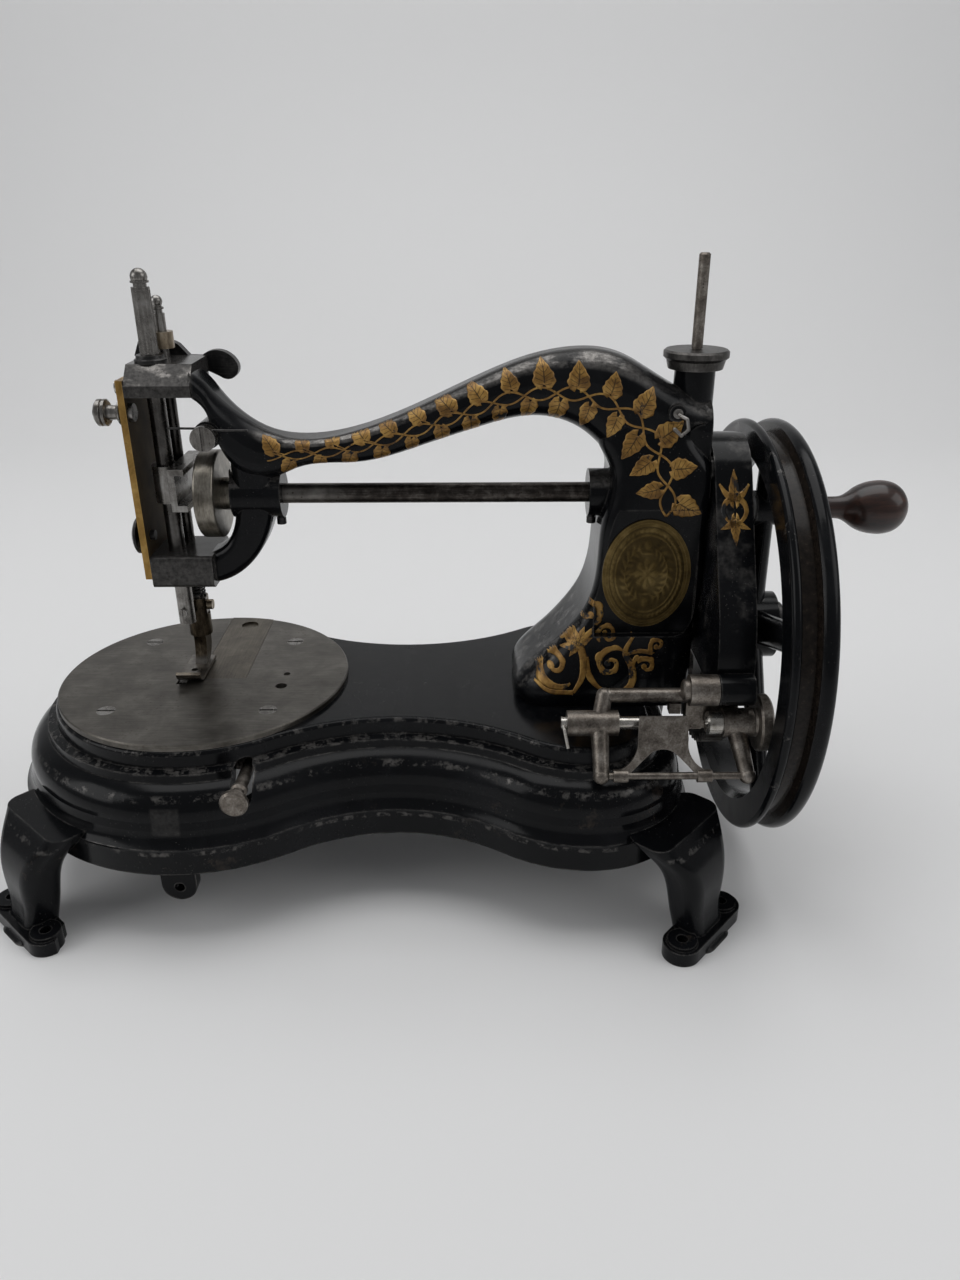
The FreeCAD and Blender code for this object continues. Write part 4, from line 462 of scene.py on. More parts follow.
def mixSteel(name, plan, tone=None, tonePlan=None):
    pot, mix = paintPot(name), steelMix
    cloud = pot.noise(plan["mottle"], *mix["cloud"])
    streak = pot.noise(*mix["streak"], plan["streak"])
    mottled = pot.sum("ADD", pot.times(cloud, mix["cloudShare"]), pot.times(streak, mix["streakShare"]))
    colour = pot.threeTone(mottled, mix["stops"], plan)
    if tone:
        colour = tone(pot, colour, tonePlan)
    pitPatch = pot.noise(plan["mottle"] * mix["pitSpread"], mix["pitDetail"])
    pits = pot.times(pot.spots(plan["pits"], *mix["pitSize"]), pot.band(pitPatch, *mix["pitBand"]),
        plan["pitShare"])
    colour = pot.mix(pits, colour, plan["rust"])
    colour = pot.brighten(colour, plan["light"], *mix["edge"])
    dull = pot.sum("ADD", pot.times(cloud, mix["roughCloud"]), pot.times(pits, mix["roughPits"]))
    pot.bump(pot.sum("SUBTRACT", pot.times(streak, mix["streakDepth"]), pits), *mix["bump"])
    return pot.finish(colour, mix["metal"], pot.span(dull, *plan["rough"]))


# The shaft's end by the head is kept bright by oil, the toe of the foot by the cloth
oiledEnd = {
    "axis": "X", "edge": (-0.030, -0.055), "share": 0.6, "noise": (160, 4),
    "tones": [(0.3, (0.10, 0.094, 0.087)), (0.7, (0.30, 0.285, 0.265))],
}
rubbedToe = {
    "axis": "Z", "edge": (0.0865, 0.0835), "share": 0.8, "noise": (220, 4),
    "tones": [(0.3, (0.075, 0.070, 0.063)), (0.7, (0.24, 0.225, 0.205))],
}


def brightEnd(pot, colour, plan):
    bare = pot.times(pot.band(pot.axis(plan["axis"]), *plan["edge"]), plan["share"])
    return pot.mix(bare, colour, pot.tint(pot.noise(*plan["noise"]), plan["tones"]))


barDarkPlan = {
    "above": (0.135, 0.142), "below": (0.203, 0.197), "noise": (200, 4), "span": (0.45, 0.95),
    "oil": (0.028, 0.026, 0.025),
}


def barDarkBand(pot, colour, plan):
    # darker on the bars between the head blocks
    inside = pot.times(pot.band(pot.axis("Z"), *plan["above"]), pot.band(pot.axis("Z"), *plan["below"]))
    cloud = pot.span(pot.noise(*plan["noise"]), *plan["span"])
    return pot.mix(pot.times(inside, cloud), colour, plan["oil"])


# Brass: golden brown, browner in patches, darker on the inner face
brassPlan = {
    "dark": (0.17, 0.10, 0.03), "mid": (0.33, 0.20, 0.062), "light": (0.50, 0.33, 0.115),
    "grime": (0.022, 0.018, 0.014),
}
badgePlan = {
    "dark": (0.040, 0.026, 0.008), "mid": (0.105, 0.071, 0.024), "light": (0.225, 0.160, 0.062),
    "grime": (0.016, 0.011, 0.005),
}
brassMix = {
    "cloud": (85, 5, 0.65, None, 0.4), "stops": (0.33, 0.52, 0.70),
    "stainScale": 520, "stainSize": (0.08, 0.24), "stainPatch": ((60, 3), (0.48, 0.66)), "stainShare": 0.6,
    "metal": 0.9, "rough": (0.3, 0.52), "specular": 0.5,
    "sideDarkTurn": (0.6, 0.85), "sideDarkNoise": (90, 4), "sideDarkSpan": (0.85, 1.0),
    "sideDarkRough": 0.75, "sideDarkSpecular": 0.08, "hollowShare": 0.65,
    "edge": (0.0006, 0.4, 1.3), "grain": (900, 3), "grainDepth": 0.3, "bump": (0.2, 0.0002),
}


def mixBrass(name, plan, inner=None, hollow=None):
    # inner is the direction of a face made darker and duller, hollow the depths in Y between which grime
    # gathers
    pot, mix = paintPot(name), brassMix
    cloud = pot.noise(*mix["cloud"])
    colour = pot.threeTone(cloud, mix["stops"], plan)
    stains = pot.times(pot.spots(mix["stainScale"], *mix["stainSize"]),
        pot.patch(*mix["stainPatch"]), mix["stainShare"])
    colour = pot.mix(stains, colour, plan["grime"])
    metal, rough, specular = mix["metal"], pot.span(cloud, *mix["rough"]), mix["specular"]
    if inner:
        # faces turned to inner are darkened toward the grime colour, with metal and reflection taken down
        sideDark = pot.times(pot.band(pot.facing(inner), *mix["sideDarkTurn"]),
            pot.span(pot.noise(*mix["sideDarkNoise"]), *mix["sideDarkSpan"]))
        colour = pot.mix(sideDark, colour, plan["grime"])
        metal = pot.span(sideDark, metal, 0.0)
        rough = pot.sum("MAXIMUM", rough, pot.times(sideDark, mix["sideDarkRough"]))
        specular = mix["sideDarkSpecular"]
    if hollow:
        deep = pot.times(pot.band(pot.axis("Y"), *hollow), mix["hollowShare"])
        colour = pot.mix(deep, colour, plan["grime"])
    colour = pot.brighten(colour, plan["light"], *mix["edge"])
    grain = pot.times(pot.noise(*mix["grain"]), mix["grainDepth"])
    pot.bump(pot.sum("SUBTRACT", grain, stains), *mix["bump"])
    return pot.finish(colour, metal, rough, specular)


# Turned hardwood: very dark red-brown, long grain along the handle, polished by hands
woodPlan = {
    "dark": (0.008, 0.0035, 0.0025), "mid": (0.026, 0.009, 0.0055), "light": (0.058, 0.021, 0.011),
    "grain": (230, 5, 0.6, (0.07, 1, 1), 0.6), "stops": (0.32, 0.52, 0.72),
    "porePatch": ((1400, 2, 0.5, (0.04, 1, 1)), (0.60, 0.70)),
    "poreShare": 0.6, "poreTone": (0.006, 0.003, 0.002), "bump": (0.15, 0.0002),
    "coat": 0.4, "coatRough": 0.12, "rough": (0.32, 0.5), "specular": 0.3,
}


def mixWood(name, plan):
    pot = paintPot(name)
    grain = pot.noise(*plan["grain"])
    pores = pot.patch(*plan["porePatch"])
    colour = pot.threeTone(grain, plan["stops"], plan)
    colour = pot.mix(pot.times(pores, plan["poreShare"]), colour, plan["poreTone"])
    pot.bump(pot.times(pores, -1.0), *plan["bump"])
    pot.shader.inputs["Coat Weight"].default_value = plan["coat"]
    pot.shader.inputs["Coat Roughness"].default_value = plan["coatRough"]
    return pot.finish(colour, 0.0, pot.span(grain, *plan["rough"]), plan["specular"])


# Gilding under old varnish: orange gold, dark veins from the leaf's own UV, worn through to the japan
giltPlan = {
    "dark": (0.115, 0.055, 0.011), "mid": (0.27, 0.142, 0.030), "light": (0.46, 0.275, 0.070),
    "vein": (0.016, 0.009, 0.004), "veinShare": 0.85,
    "cloud": (150, 5, 0.68, None, 0.5), "stops": (0.34, 0.50, 0.68),
    "rib": (0.085, 0.035), "branches": 5.5, "slant": 1.5, "branchHalf": (0.10, 0.045),
    "branchEnd": (0.86, 0.70), "wearNoise": (95, 5, 0.74), "metal": 0.35,
    "grain": (800, 3), "bump": (0.12, 0.0001), "rough": (0.30, 0.46),
}


def mixGilt(name, plan, wear):
    pot = paintPot(name)
    cloud = pot.noise(*plan["cloud"])
    colour = pot.threeTone(cloud, plan["stops"], plan)
    split = pot.add("ShaderNodeSeparateXYZ", Vector=pot.source.outputs["UV"])
    side = pot.away(pot.times(split.outputs["Y"], 2.0), 1.0)  # 0 on the midrib, 1 on the leaf's edge
    rib = pot.band(side, *plan["rib"])
    row = pot.sum("SUBTRACT", pot.times(split.outputs["X"], plan["branches"]), pot.times(side, plan["slant"]))
    row = pot.sum("FRACT", pot.sum("ADD", row, 4.0))  # 4 keeps it above 0
    branch = pot.times(pot.band(pot.away(row, 0.5), *plan["branchHalf"]), pot.band(side, *plan["branchEnd"]))
    colour = pot.mix(pot.times(pot.sum("MAXIMUM", rib, branch), plan["veinShare"]), colour, plan["vein"])
    gone = pot.band(pot.noise(*plan["wearNoise"]), *wear)
    colour = pot.mix(gone, colour, japanPlan["deep"])
    metal = pot.times(pot.sum("SUBTRACT", 1.0, gone), plan["metal"])
    pot.bump(pot.noise(*plan["grain"]), *plan["bump"])
    return pot.finish(colour, metal, pot.span(cloud, *plan["rough"]))


japanArm = mixJapan("japanArm", japanPlan, bare=armWearAndHighlight)
japanBed = mixJapan("japanBed", japanPlan, bare=bedWear, stain=bedRust)
japanGuard = mixJapan("japanGuard", japanPlan, bare=guardWear)
japanWheel = mixJapan("japanWheel", japanPlan, bare=rimWear, stain=beltStain)
steels = {name: mixSteel(name, plan) for name, plan in steelPlans.items()}
shaftSteel = mixSteel("oiledShaftSteel", steelPlans["shaftSteel"], brightEnd, oiledEnd)
barSteel = mixSteel("darkBandBarSteel", steelPlans["brightSteel"], barDarkBand, barDarkPlan)
footBronze = mixSteel("rubbedFootBronze", footPlan, brightEnd, rubbedToe)
faceBrass = mixBrass("faceBrass", brassPlan, inner=(1, 0, 0))
badgeBrass = mixBrass("badgeBrass", badgePlan)
reliefBrass = mixBrass("reliefBrass", badgePlan, hollow=(-0.02020, -0.02010))
handleWood = mixWood("handleWood", woodPlan)
gilding = mixGilt("gilding", giltPlan, wear=(0.60, 0.64))
rubbedGilding = mixGilt("rubbedGilding", giltPlan, wear=(0.545, 0.60))
print("materials mixed")

# Which finish each CAD node wears
nodeFinish = [
    (japanArm, ["arm_casting"]),
    (japanBed, ["bed_casting"]),
    (japanGuard, ["gear_guard"]),
    (japanWheel, ["hand_wheel"]),
    (steels["stitchPlate"], ["stitch_plate"]),
    (steels["slidePlate"], ["slide_plate"]),
    (steels["brightSteel"], ["plate_screws", "shuttle", "bobbin", "tension_stud", "needle_screw",
        "needle_yoke", "crank_roller", "guard_screws", "shuttle_carrier", "feed_bar", "thread_hook",
        "tension_nut", "take_up_screw"]),
    (barSteel, ["needle_bar", "presser_bar"]),
    (shaftSteel, ["upper_shaft"]),
    (steels["darkSteel"], ["lifter_lever", "arm_bolts", "gear_screws", "set_screws", "wheel_axle",
        "handle_bolt", "needle_bush", "take_up_spring", "presser_spring", "thread_check"]),
    (steels["shaftSteel"], ["regulator_shaft", "shuttle_race", "shuttle_lever", "shuttle_stud",
        "under_brackets"]),
    (steels["speckledSteel"], ["winder_frame", "winder_screw", "winder_pivot", "winder_rod", "winder_pulley",
        "thread_saddle", "regulator_lever", "spool_pin"]),
    (steels["discSteel"], ["crank_disc"]),
    (steels["bronzeSteel"], ["presser_collar", "foot_screw", "lifter_pin"]),
    (footBronze, ["presser_foot"]),
    (steels["dullNickel"], ["tension_discs", "face_screws", "winder_spindle", "tail_spindle"]),
    (steels["collarSteel"], ["spool_collar"]),
    (faceBrass, ["face_plate"]),
    (badgeBrass, ["badge_plate"]),
    (steels["gearIron"], ["pinion", "drive_gear"]),
    (handleWood, ["handle_grip"]),
]
for finish, names in nodeFinish:
    for name in names:
        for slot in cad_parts[name].material_slots:
            slot.material = finish
finished = {name for finish, names in nodeFinish for name in names}
print("finishes put on", len(finished), "nodes, left plain:", sorted(set(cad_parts) - finished))


def gridFaces(rows, columns, start):
    # quads of a grid of points numbered row by row
    i, j = np.meshgrid(np.arange(rows - 1), np.arange(columns - 1), indexing="ij")
    a = (start + i * columns + j).ravel()
    return np.stack([a, a + 1, a + columns + 1, a + columns], 1)


def ringFaces(rows, columns):
    # quads between closed rings of points
    i, j = np.meshgrid(np.arange(rows - 1), np.arange(columns), indexing="ij")
    low, high, after = i * columns, (i + 1) * columns, (j + 1) % columns
    return np.stack([low + j, low + after, high + after, high + j], -1).reshape(-1, 4)


def discGrid(count):
    # square grid of -1 to 1, and the same points bent to a unit disc
    u, v = np.meshgrid(np.linspace(-1, 1, count), np.linspace(-1, 1, count), indexing="ij")
    return u, v, np.stack([u * np.sqrt(1 - v ** 2 / 2), v * np.sqrt(1 - u ** 2 / 2)], -1)


def plainUv(shape):
    # a UV at the leaf's edge, where no vein is drawn
    return np.stack([np.zeros(shape), np.ones(shape)], -1)


def buildPiece(name, points, faces, uv, material):
    # mesh from whole arrays, UV copied from each corner's point
    mesh = bpy.data.meshes.new(name)
    mesh.from_pydata(points.tolist(), [], faces)
    corners = np.empty(len(mesh.loops), np.int32)
    mesh.loops.foreach_get("vertex_index", corners)
    mesh.uv_layers.new(name="leafMap").data.foreach_set("uv", uv[corners].astype(np.float32).ravel())
    mesh.polygons.foreach_set("use_smooth", np.ones(len(faces), bool))
    mesh.materials.append(material)
    piece = bpy.data.objects.new(name, mesh)
    scene.collection.objects.link(piece)
    return piece


# Gold leaf: lift off the casting, thickness, and the least travel that counts as a hit
goldPlan = {"off": 0.00006, "thick": 0.00005, "hit": 1e-5}


def layOn(name, patches, targets, plan, material):
    # flat patches in X and Z, in millimetres, are carried along Y onto the nearest casting;
    # faces that reach none, or bend back too steeply, are left off
    flat = np.concatenate([p.reshape(-1, 2) for p, _ in patches]) * millimetre
    uv = np.concatenate([u.reshape(-1, 2) for _, u in patches])
    starts = np.cumsum([0] + [p.shape[0] * p.shape[1] for p, _ in patches])
    faces = np.concatenate([gridFaces(*p.shape[:2], s) for (p, _), s in zip(patches, starts)])
    points = np.stack([flat[:, 0], np.full(len(flat), plan["from"]), flat[:, 1]], 1)
    loose = buildPiece(name + "Flat", points, faces.tolist(), uv, material)
    wrap = loose.modifiers.new("lay", "SHRINKWRAP")
    wrap.wrap_method = "PROJECT"
    wrap.wrap_mode = "ABOVE_SURFACE"
    wrap.use_project_x = wrap.use_project_z = False
    wrap.use_project_y = True
    wrap.offset = goldPlan["off"]
    landed = points + [0, 1, 0]  # a point that reaches nothing stays far behind
    for target in targets:
        wrap.target = target
        bpy.context.view_layer.update()
        laid = loose.evaluated_get(bpy.context.evaluated_depsgraph_get()).to_mesh()
        place = np.empty(len(points) * 3, np.float32)
        laid.vertices.foreach_get("co", place)
        place = place.reshape(-1, 3).astype(float)
        nearer = (place[:, 1] > plan["from"] + goldPlan["hit"]) & (place[:, 1] < landed[:, 1])
        landed[nearer] = place[nearer]
    bpy.data.objects.remove(loose)
    depth = landed[faces][:, :, 1]
    keep = np.all(depth < plan["behind"], axis=1) & (np.ptp(depth, axis=1) < plan["steep"])
    x, z = points[faces][:, :, 0], points[faces][:, :, 2]
    area = np.sum(x * np.roll(z, -1, 1) - np.roll(x, -1, 1) * z, axis=1)
    faces = np.where(area[:, None] < 0, faces[:, ::-1], faces)[keep]
    used, inverse = np.unique(faces, return_inverse=True)
    piece = buildPiece(name, landed[used], inverse.reshape(-1, 4).tolist(), uv[used], material)
    skin = piece.modifiers.new("leafGold", "SOLIDIFY")
    skin.thickness = goldPlan["thick"]
    skin.offset = -1
    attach(piece, "base")
    print(name, "has", len(used), "points,", int(np.sum(~keep)), "faces left off")


pathDetail = 40  # samples to a point
ribbonColumns = 5


def smoothPath(points, count):
    # Catmull-Rom through the points, evenly spaced by length
    p = np.array(points, float)
    p = np.vstack([2 * p[0] - p[1], p, 2 * p[-1] - p[-2]])
    t = np.linspace(0, len(p) - 3 - 1e-9, pathDetail * len(p))
    k = t.astype(int)
    f = (t - k)[:, None]
    a, b, c, d = p[k], p[k + 1], p[k + 2], p[k + 3]
    line = 0.5 * (2 * b + (c - a) * f + (2 * a - 5 * b + 4 * c - d) * f ** 2
        + (3 * b - a - 3 * c + d) * f ** 3)
    run = np.concatenate([[0], np.cumsum(np.linalg.norm(np.diff(line, axis=0), axis=1))])
    s = np.linspace(0, run[-1], count)
    return np.stack([np.interp(s, run, line[:, 0]), np.interp(s, run, line[:, 1])], 1), s / run[-1]


def sideways(line):
    # unit vectors along the line and to its left
    along = np.gradient(line, axis=0)
    along = along / np.linalg.norm(along, axis=1, keepdims=True)
    return along, np.stack([-along[:, 1], along[:, 0]], 1)


def ribbon(line, left, right):
    # a strip along a line with its own half width on each side
    across = sideways(line)[1]
    v = np.linspace(0, 1, ribbonColumns)[None, :, None]
    patch = line[:, None] + across[:, None] * (left[:, None, None] * (1 - v) - right[:, None, None] * v)
    return patch, plainUv(patch.shape[:2])


# Heart leaf: half width sin(pi u^swell)^full narrowed to a tip, faint teeth, lobes swept back at the stalk
leafPlan = {
    "rows": 19, "columns": 11, "ends": (0.004, 0.996), "swell": 0.55, "full": 0.8, "taper": (1.08, 0.3),
    "teeth": (0.07, 26), "lobes": 0.24,
}


def leaves(base, angle, length, plump, curl):
    u = np.linspace(0, 1, leafPlan["rows"])[None, :, None]
    v = np.linspace(-1, 1, leafPlan["columns"])[None, None, :]
    half = plump * np.sin(np.pi * np.clip(u, *leafPlan["ends"]) ** leafPlan["swell"]) ** leafPlan["full"]
    half = half * (leafPlan["taper"][0] - leafPlan["taper"][1] * u ** 2)
    half = half * (1 + leafPlan["teeth"][0] * np.cos(leafPlan["teeth"][1] * u))
    forth = u - leafPlan["lobes"] * v ** 2 * (1 - u) ** 3
    aside = v * half + curl[:, None, None] * u ** 2
    c, s = np.cos(angle)[:, None, None], np.sin(angle)[:, None, None]
    size = length[:, None, None]
    x = base[:, 0, None, None] + size * (forth * c - aside * s)
    z = base[:, 1, None, None] + size * (forth * s + aside * c)
    uv = np.stack(np.broadcast_arrays(u[0], (v[0] + 1) / 2), -1)
    return [(one, uv) for one in np.stack([x, z], -1)]


# Ivy vine over the arm: two crossing stems climb from above the badge, heart leaves hang from short stalks
vinePlan = {
    "route": [(86.5, 157), (86.5, 168), (84, 178), (79, 187), (70, 195.5), (57, 201.5), (42, 203),
        (24, 200.5), (8, 195), (-9, 189), (-27, 183.5), (-45, 180.2), (-58, 179.2), (-68, 178.6)],
    "steps": 420, "stemSwing": (3.0, 1.5), "stemWaves": 7.75, "stemHalf": (0.42, 0.26),
    "leafCount": 31, "leafSpan": (0.03, 0.985), "leafLength": (9.9, 6.6), "lengthSway": (0.10, 5.3),
    "plump": 0.40, "plumpSway": (0.1, 3.1), "curl": 0.14,
    "droop": (112, 62), "droopBy": 0.75, "droopSway": (0.12, 2.7),
    "stand": (3.9, 2.2), "standSway": (0.15, 4.1),
    "stalkBack": 9, "stalkSteps": 7, "stalkHalf": 0.75, "stalkReach": 1.05,
    "from": -0.08, "behind": 0.0, "steep": 0.0025,
}


def growVine(plan):
    line, share = smoothPath(plan["route"], plan["steps"])
    along, across = sideways(line)
    swing = np.interp(share, [0, 1], plan["stemSwing"]) * np.sin(2 * np.pi * plan["stemWaves"] * share)
    half = np.interp(share, [0, 1], plan["stemHalf"])
    stems = [line + across * swing[:, None], line - across * swing[:, None]]
    patches = [ribbon(stem, half, half) for stem in stems]
    k = np.arange(plan["leafCount"])

    def sway(key, wave, start=0):
        amount, pace = plan[key]
        return 1 + amount * wave(pace * k + start)

    at = np.linspace(*plan["leafSpan"], len(k))
    pick = (at * (len(line) - 1)).astype(int)
    hand = np.where(k % 2, 1.0, -1.0)
    length = np.interp(at, [0, 1], plan["leafLength"]) * sway("lengthSway", np.sin)
    heading = np.arctan2(along[pick, 1], along[pick, 0])
    droop = np.radians(np.interp(at, [0, plan["droopBy"]], plan["droop"])) * sway("droopSway", np.sin, 1)
    stand = np.interp(at, [0, 1], plan["stand"]) * sway("standSway", np.cos)
    base = line[pick] + across[pick] * (hand * stand)[:, None]
    plump = (plan["plump"] * sway("plumpSway", np.cos))[:, None, None]
    patches += leaves(base, heading + hand * droop, length, plump, -plan["curl"] * hand)
    fork = np.clip(pick - plan["stalkBack"], 0, None)
    stalkHalf = np.full(plan["stalkSteps"], plan["stalkHalf"] * plan["stemHalf"][1])
    reach = np.linspace(0, plan["stalkReach"], plan["stalkSteps"])[:, None]
    for one, root, side in zip(base, fork, hand):
        near = stems[0][root] if swing[root] * side > 0 else stems[1][root]
        patches.append(ribbon(near + (one - near) * reach, stalkHalf, stalkHalf))
    layOn("vineGilding", patches, [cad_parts["arm_casting"]], plan, gilding)


growVine(vinePlan)

# Foot of the pillar on the gear side: the casting runs straight down to the bed behind the winder
rootPlan = {
    "levels": [(77.62, 101.4, 26.6, 10), (82, 101.6, 27.4, 10), (90, 101.6, 26.2, 10), (98, 101.8, 24.3, 9),
        (107.3, 102.2, 22.75, 8), (107.45, 102.2, 19.3, 7), (117, 102.4, 19.3, 6.5)],
    "left": 62.0, "perCorner": 12, "rows": 40,
}


def castRoot(plan):
    # rounded rectangles (height, right edge, half depth, corner radius) blended up the pillar, with two caps
    levels = np.array(plan["levels"])
    z = np.union1d(np.linspace(levels[0, 0], levels[-1, 0], plan["rows"]), levels[:, 0])
    right, half, corner = (np.interp(z, levels[:, 0], levels[:, c])[:, None] for c in (1, 2, 3))
    quarter = np.linspace(0, np.pi / 2, plan["perCorner"])[None, :]
    left = np.full((len(z), 1), plan["left"])
    x = np.concatenate([left, right - corner + corner * np.sin(quarter),
        right - corner + corner * np.cos(quarter), left], 1)
    y = np.concatenate([-half, -half + corner - corner * np.cos(quarter),
        half - corner + corner * np.sin(quarter), half], 1)
    points = np.stack([x, y, z[:, None] + 0 * x], -1)
    rows, columns = points.shape[:2]
    points = points.reshape(-1, 3) * millimetre
    caps = [list(range(columns))[::-1], list(range((rows - 1) * columns, rows * columns))]
    faces = ringFaces(rows, columns).tolist() + caps
    piece = buildPiece("pillarRoot", points, faces, points[:, [0, 2]] * uvPerMetre, japanArm)
    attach(piece, "base")
    print("pillar root cast,", len(points), "points")
    return piece


pillarRoot = castRoot(rootPlan)

# Scrolls on the pillar's toe: spirals with leafy outer edges, stalks and a bud of pointed leaves
scrollPlan = {
    "spirals": [  # centre, first and last radius, start and sweep in degrees, half widths, lobes
        ((44.8, 95.5), (9.6, 1.7), (-48, -470), (1.6, 0.7), 7),
        ((57.6, 117.2), (6.4, 1.9), (-70, 400), (1.35, 0.62), 5),
        ((67.6, 96.2), (7.3, 1.3), (48, 480), (1.3, 0.62), 6),
        ((47.4, 106.4), (4.4, 1.2), (-30, 380), (1.0, 0.5), 4),
        ((66.4, 107.8), (4.3, 1.2), (215, -400), (1.0, 0.5), 4),
        ((86.4, 104.0), (3.6, 1.0), (250, -370), (0.9, 0.5), 4),
        ((82.4, 95.2), (3.9, 1.1), (160, -330), (1.1, 0.55), 4),
    ],
    "steps": 150, "tip": 0.25, "tipBy": 0.12, "lobeShare": 0.9, "lobePower": 0.7, "lobeFade": (1.15, 1.4),
    "eye": 2.1, "eyePoints": 9,
    "stalks": [  # points and half widths
        ([(52.5, 84.5), (56.0, 91), (56.4, 98), (54.5, 105)], (0.7, 1.5)),
        ([(54.5, 104), (58.0, 108.5), (60.4, 111.2)], (1.3, 0.7)),
        ([(57.2, 99), (58.6, 92), (62.5, 87), (66.5, 85.5)], (1.3, 0.35)),
        ([(72.4, 83.5), (76.4, 88), (76.2, 95), (73.4, 101), (76.5, 108)], (1.5, 0.6)),
        ([(76.5, 96), (78.2, 99), (79.3, 97)], (0.9, 0.7)),
        ([(74.0, 100), (79, 101.5), (84.6, 100.6)], (0.6, 0.9)),
        ([(36.6, 88.6), (43, 85.2), (52.5, 84.5)], (0.5, 1.0)),
    ],
    "stalkSteps": 60,
    "bud": {"base": (54.2, 103.5), "angles": (42, 78, 112, 148, 186, 222),
        "lengths": (6.8, 8.2, 9.4, 8.6, 7.4, 5.6), "plump": 0.22, "curl": 0.15},
    "from": -0.09, "behind": 0.0, "steep": 0.003,
}


def growScrolls(plan):
    patches = []
    t = np.linspace(0, 1, plan["steps"])
    disc = discGrid(plan["eyePoints"])[2]
    for centre, (wide, tight), (start, sweep), ends, lobes in plan["spirals"]:
        angle = np.radians(start + sweep * t)
        radius = wide * (tight / wide) ** t
        line = np.array(centre) + radius[:, None] * np.stack([np.cos(angle), np.sin(angle)], 1)
        half = np.interp(t, [0, plan["tipBy"], 1], [plan["tip"] * ends[0], *ends])
        lobe = np.clip(np.sin(2 * np.pi * lobes * t), 0, 1) ** plan["lobePower"]
        fade = np.clip(plan["lobeFade"][0] - t * plan["lobeFade"][1], 0, 1)
        outer = half + plan["lobeShare"] * half * lobe * fade
        left, right = (half, outer) if sweep > 0 else (outer, half)
        patches.append(ribbon(line, left, right))
        patches.append((line[-1] + disc * ends[1] * plan["eye"], plainUv(disc.shape[:2])))
    for route, (first, last) in plan["stalks"]:
        line, share = smoothPath(route, plan["stalkSteps"])
        half = np.interp(share, [0, 0.5, 1], [first, max(first, last), last])
        patches.append(ribbon(line, half, half))
    bud = plan["bud"]
    n = len(bud["angles"])
    patches += leaves(np.tile(bud["base"], (n, 1)), np.radians(bud["angles"]), np.array(bud["lengths"]),
        np.full((n, 1, 1), bud["plump"]), np.linspace(-bud["curl"], bud["curl"], n))
    layOn("toeScrollGilding", patches, [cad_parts["arm_casting"], pillarRoot], plan, rubbedGilding)


growScrolls(scrollPlan)

# Small fleur on the guard's sloping front: a spear above, a drop below and two open curls at the waist
fleurPlan = {
    "middle": 110.7, "steps": 36, "plump": 0.2,
    "curl": [(0.0, 157.4), (2.6, 158.6), (4.3, 161.4), (3.4, 164.4), (0.6, 166.2)], "curlHalf": (0.5, 1.15),
    "wing": [(0.6, 166.0), (3.2, 167.4), (5.6, 170.6)], "wingHalf": (1.5, 0.35),
    # leaves as base, angle, length and curl
    "spear": ((0.0, 165.0), 90, 10.6, 0.0), "drop": ((0.0, 159.0), -90, 9.0, 0.0),
    "barb": ((0.8, 157.6), -28, 5.2, 0.1),
    "from": -0.10, "behind": -0.012, "steep": 0.003,
}


def growFleur(plan):
    # curls, wings and barbs are drawn to the right of the middle line and mirrored to the left
    patches = []

    def addLeaf(leaf, side):
        base, angle, length, curl = leaf
        angle = angle if side > 0 else 180 - angle
        base = np.array([base]) * [side, 1.0] + [plan["middle"], 0]
        patches.extend(leaves(base, np.radians([angle]), np.array([length]),
            np.full((1, 1, 1), plan["plump"]), np.array([curl * side])))

    for side in (1.0, -1.0):
        for route, width in (("curl", "curlHalf"), ("wing", "wingHalf")):
            line, share = smoothPath(np.array(plan[route]) * [side, 1.0] + [plan["middle"], 0], plan["steps"])
            half = np.interp(share, [0, 1], plan[width])
            patches.append(ribbon(line, half, half))
        addLeaf(plan["barb"], side)
    addLeaf(plan["spear"], 1.0)
    addLeaf(plan["drop"], 1.0)
    layOn("guardFleurGilding", patches, [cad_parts["gear_guard"]], plan, rubbedGilding)


growFleur(fleurPlan)

# Relief on the oval plate: rope edge, ring, rosette, two sprigs, knots and short bars
reliefPlan = {
    "centre": (80.3, 133.5), "half": (15.3, 20.3), "floor": -20.12, "points": 121, "thick": 0.0001,
    "rim": 0.12, "rimFrom": 0.97, "fade": 0.05,
    # height in millimetres, place and half width as shares of the radius
    "rope": (0.20, 0.90, 0.035), "ropeTwist": (46, 30, 0.28), "ring": (0.11, 0.80, 0.020),
    "petals": (0.20, 0.20, 0.085), "petalWave": (8, 0.45), "eye": (0.22, 0.0, 0.075),
    "sprig": (0.17, 0.55, 0.11), "sprigLeaves": (22, 26, 1.5), "sprigEnds": (1.6, 0.25),
    "stem": (0.09, 0.55, 0.016), "knot": (0.18, 0.60, 0.075), "knotWidth": 0.07,
    "sideBar": (0.10, 0.40, 0.07), "sideBarWidth": 0.022, "endBar": (0.08, 0.42, 0.02), "endBarWidth": 0.13,
}


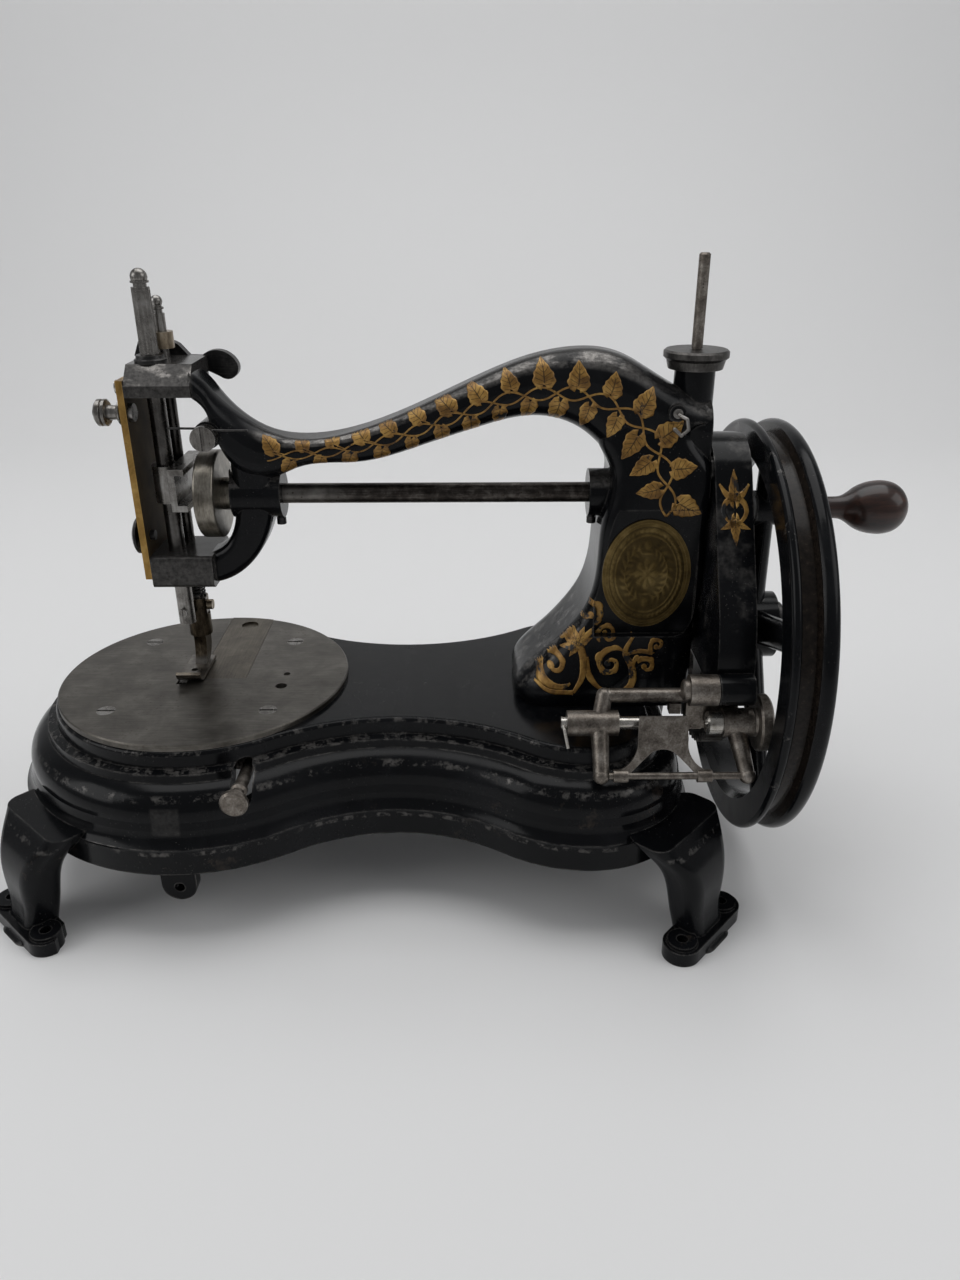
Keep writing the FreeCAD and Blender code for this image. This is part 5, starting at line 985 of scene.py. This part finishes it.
def strikeRelief(plan):
    # height is a sum of ring, petal and leaf waves of distance and angle on a disc
    u, v, disc = discGrid(plan["points"])
    a, b = disc[..., 0], disc[..., 1]
    reach, angle = np.hypot(a, b), np.arctan2(b, a)

    def bell(x, width):
        return np.exp(-(x / width) ** 2)

    def bead(key, x):
        tall, at, width = plan[key]
        return tall * bell(x - at, width)

    twists, slant, deep = plan["ropeTwist"]
    height = bead("rope", reach) * (1 - deep + deep * np.cos(twists * angle + slant * reach))
    height += bead("ring", reach) + bead("eye", reach)
    petals, deep = plan["petalWave"]
    height += bead("petals", reach) * (1 - deep + deep * np.cos(petals * angle))
    steep, cut = plan["sprigEnds"]
    gap = np.clip(np.abs(np.cos(angle)) * steep - cut, 0, 1)
    pairs, slant, power = plan["sprigLeaves"]
    leafWave = 0.5 + 0.5 * np.cos(pairs * angle + slant * np.abs(reach - plan["sprig"][1]))
    height += gap * (bead("sprig", reach) * leafWave ** power + bead("stem", reach))
    height += bell(a, plan["knotWidth"]) * (bead("knot", b) + bead("knot", -b))
    height += bell(b, plan["sideBarWidth"]) * bead("sideBar", np.abs(a))
    height += bell(a, plan["endBarWidth"]) * bead("endBar", np.abs(b))
    sunk = plan["rim"] * np.clip((reach - plan["rimFrom"]) / (1 - plan["rimFrom"]), 0, 1)
    height = height * np.clip((1 - reach) / plan["fade"], 0, 1) - sunk
    x = plan["centre"][0] + plan["half"][0] * a
    z = plan["centre"][1] + plan["half"][1] * b
    points = np.stack([x, plan["floor"] - height, z], -1).reshape(-1, 3) * millimetre
    uv = np.stack([(u + 1) / 2, (v + 1) / 2], -1).reshape(-1, 2)
    faces = gridFaces(plan["points"], plan["points"], 0)[:, ::-1]
    piece = buildPiece("badgeRelief", points, faces.tolist(), uv, reliefBrass)
    skin = piece.modifiers.new("plate", "SOLIDIFY")
    skin.thickness = plan["thick"]
    skin.offset = -1
    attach(piece, "base")
    print("badge relief struck,", len(points), "points")


strikeRelief(reliefPlan)

# Spring on the presser bar, wound as a helix in place of the CAD part
springPlan = {"turns": 8, "wire": 0.00045, "lift": 0.006, "steps": 30, "around": 12}


def windSpring(plan):
    # a circle carried along a helix, with a pole at each end of the wire
    low, high = (np.array(c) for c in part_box("presser_spring"))
    middle = 0.5 * (low + high)
    mean = 0.5 * (high[0] - low[0]) - plan["wire"]
    rows = plan["turns"] * plan["steps"] + 1
    angle = np.linspace(0, 2 * np.pi * plan["turns"], rows)
    rise = np.linspace(low[2] + plan["wire"], high[2] - plan["wire"], rows)
    centre = np.stack([middle[0] + mean * np.cos(angle), middle[1] + mean * np.sin(angle), rise], 1)
    outward = np.stack([np.cos(angle), np.sin(angle), 0 * angle], 1)
    n = plan["around"]
    turn = np.linspace(0, 2 * np.pi, n, endpoint=False)[None, :, None]
    ring = outward[:, None] * np.cos(turn) + np.array([0, 0, 1.0]) * np.sin(turn)
    points = (centre[:, None] + plan["wire"] * ring).reshape(-1, 3)
    points = np.vstack([points, centre[0], centre[-1]])
    walls = ringFaces(rows, n)[:, [0, 3, 2, 1]].tolist()
    k = np.arange(n)
    first = np.stack([k, (k + 1) % n, 0 * k + rows * n], 1).tolist()
    last = np.stack([(rows - 1) * n + (k + 1) % n, (rows - 1) * n + k, 0 * k + rows * n + 1], 1).tolist()
    uv = points[:, [0, 2]] * uvPerMetre
    piece = buildPiece("woundSpring", points, walls + first + last, uv, steels["darkSteel"])
    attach(piece, "base")
    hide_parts("presser_spring")
    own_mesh(piece)
    print("spring wound,", len(points), "points")


windSpring(springPlan)

# Turned handle: slim neck, egg-shaped bulb with a closed round end, bored for its bolt
gripPlan = {
    "around": 72, "steps": 64,
    "outside": [(0, 5.9), (1.6, 6.0), (4, 5.2), (12, 4.7), (19, 4.4), (22.5, 4.8), (25.4, 6.4), (28.4, 8.5),
        (32, 10.0), (36, 10.75), (39.5, 10.75), (43, 9.9), (46, 7.9), (48.1, 5.0), (49.1, 2.3), (49.3, 0.02)],
    "inside": [(44.6, 0.02), (44.6, 4.5), (40.0, 4.5), (40.0, 2.85), (0, 2.85), (0, 5.9)],
}


def turnGrip(plan):
    # a profile of distance along X and radius, swept once round the handle's axis
    bulb = smoothPath(plan["outside"], plan["steps"])[0]
    bulb[-1] = plan["outside"][-1]
    profile = np.vstack([bulb, plan["inside"]]) * millimetre
    low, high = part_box("handle_grip")
    turn = np.linspace(0, 2 * np.pi, plan["around"], endpoint=False)
    x = low[0] + profile[:, 0][:, None] + 0 * turn
    y = profile[:, 1][:, None] * np.sin(turn)
    z = 0.5 * (low[2] + high[2]) + profile[:, 1][:, None] * np.cos(turn)
    points = np.stack([x, y, z], -1).reshape(-1, 3)
    faces = ringFaces(len(profile), plan["around"]).tolist()
    uv = np.stack([x * uvPerMetre, 0 * x], -1).reshape(-1, 2)
    piece = buildPiece("turnedGrip", points, faces, uv, handleWood)
    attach(piece, "grip")
    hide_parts("handle_grip")
    print("grip turned,", len(points), "points")


turnGrip(gripPlan)
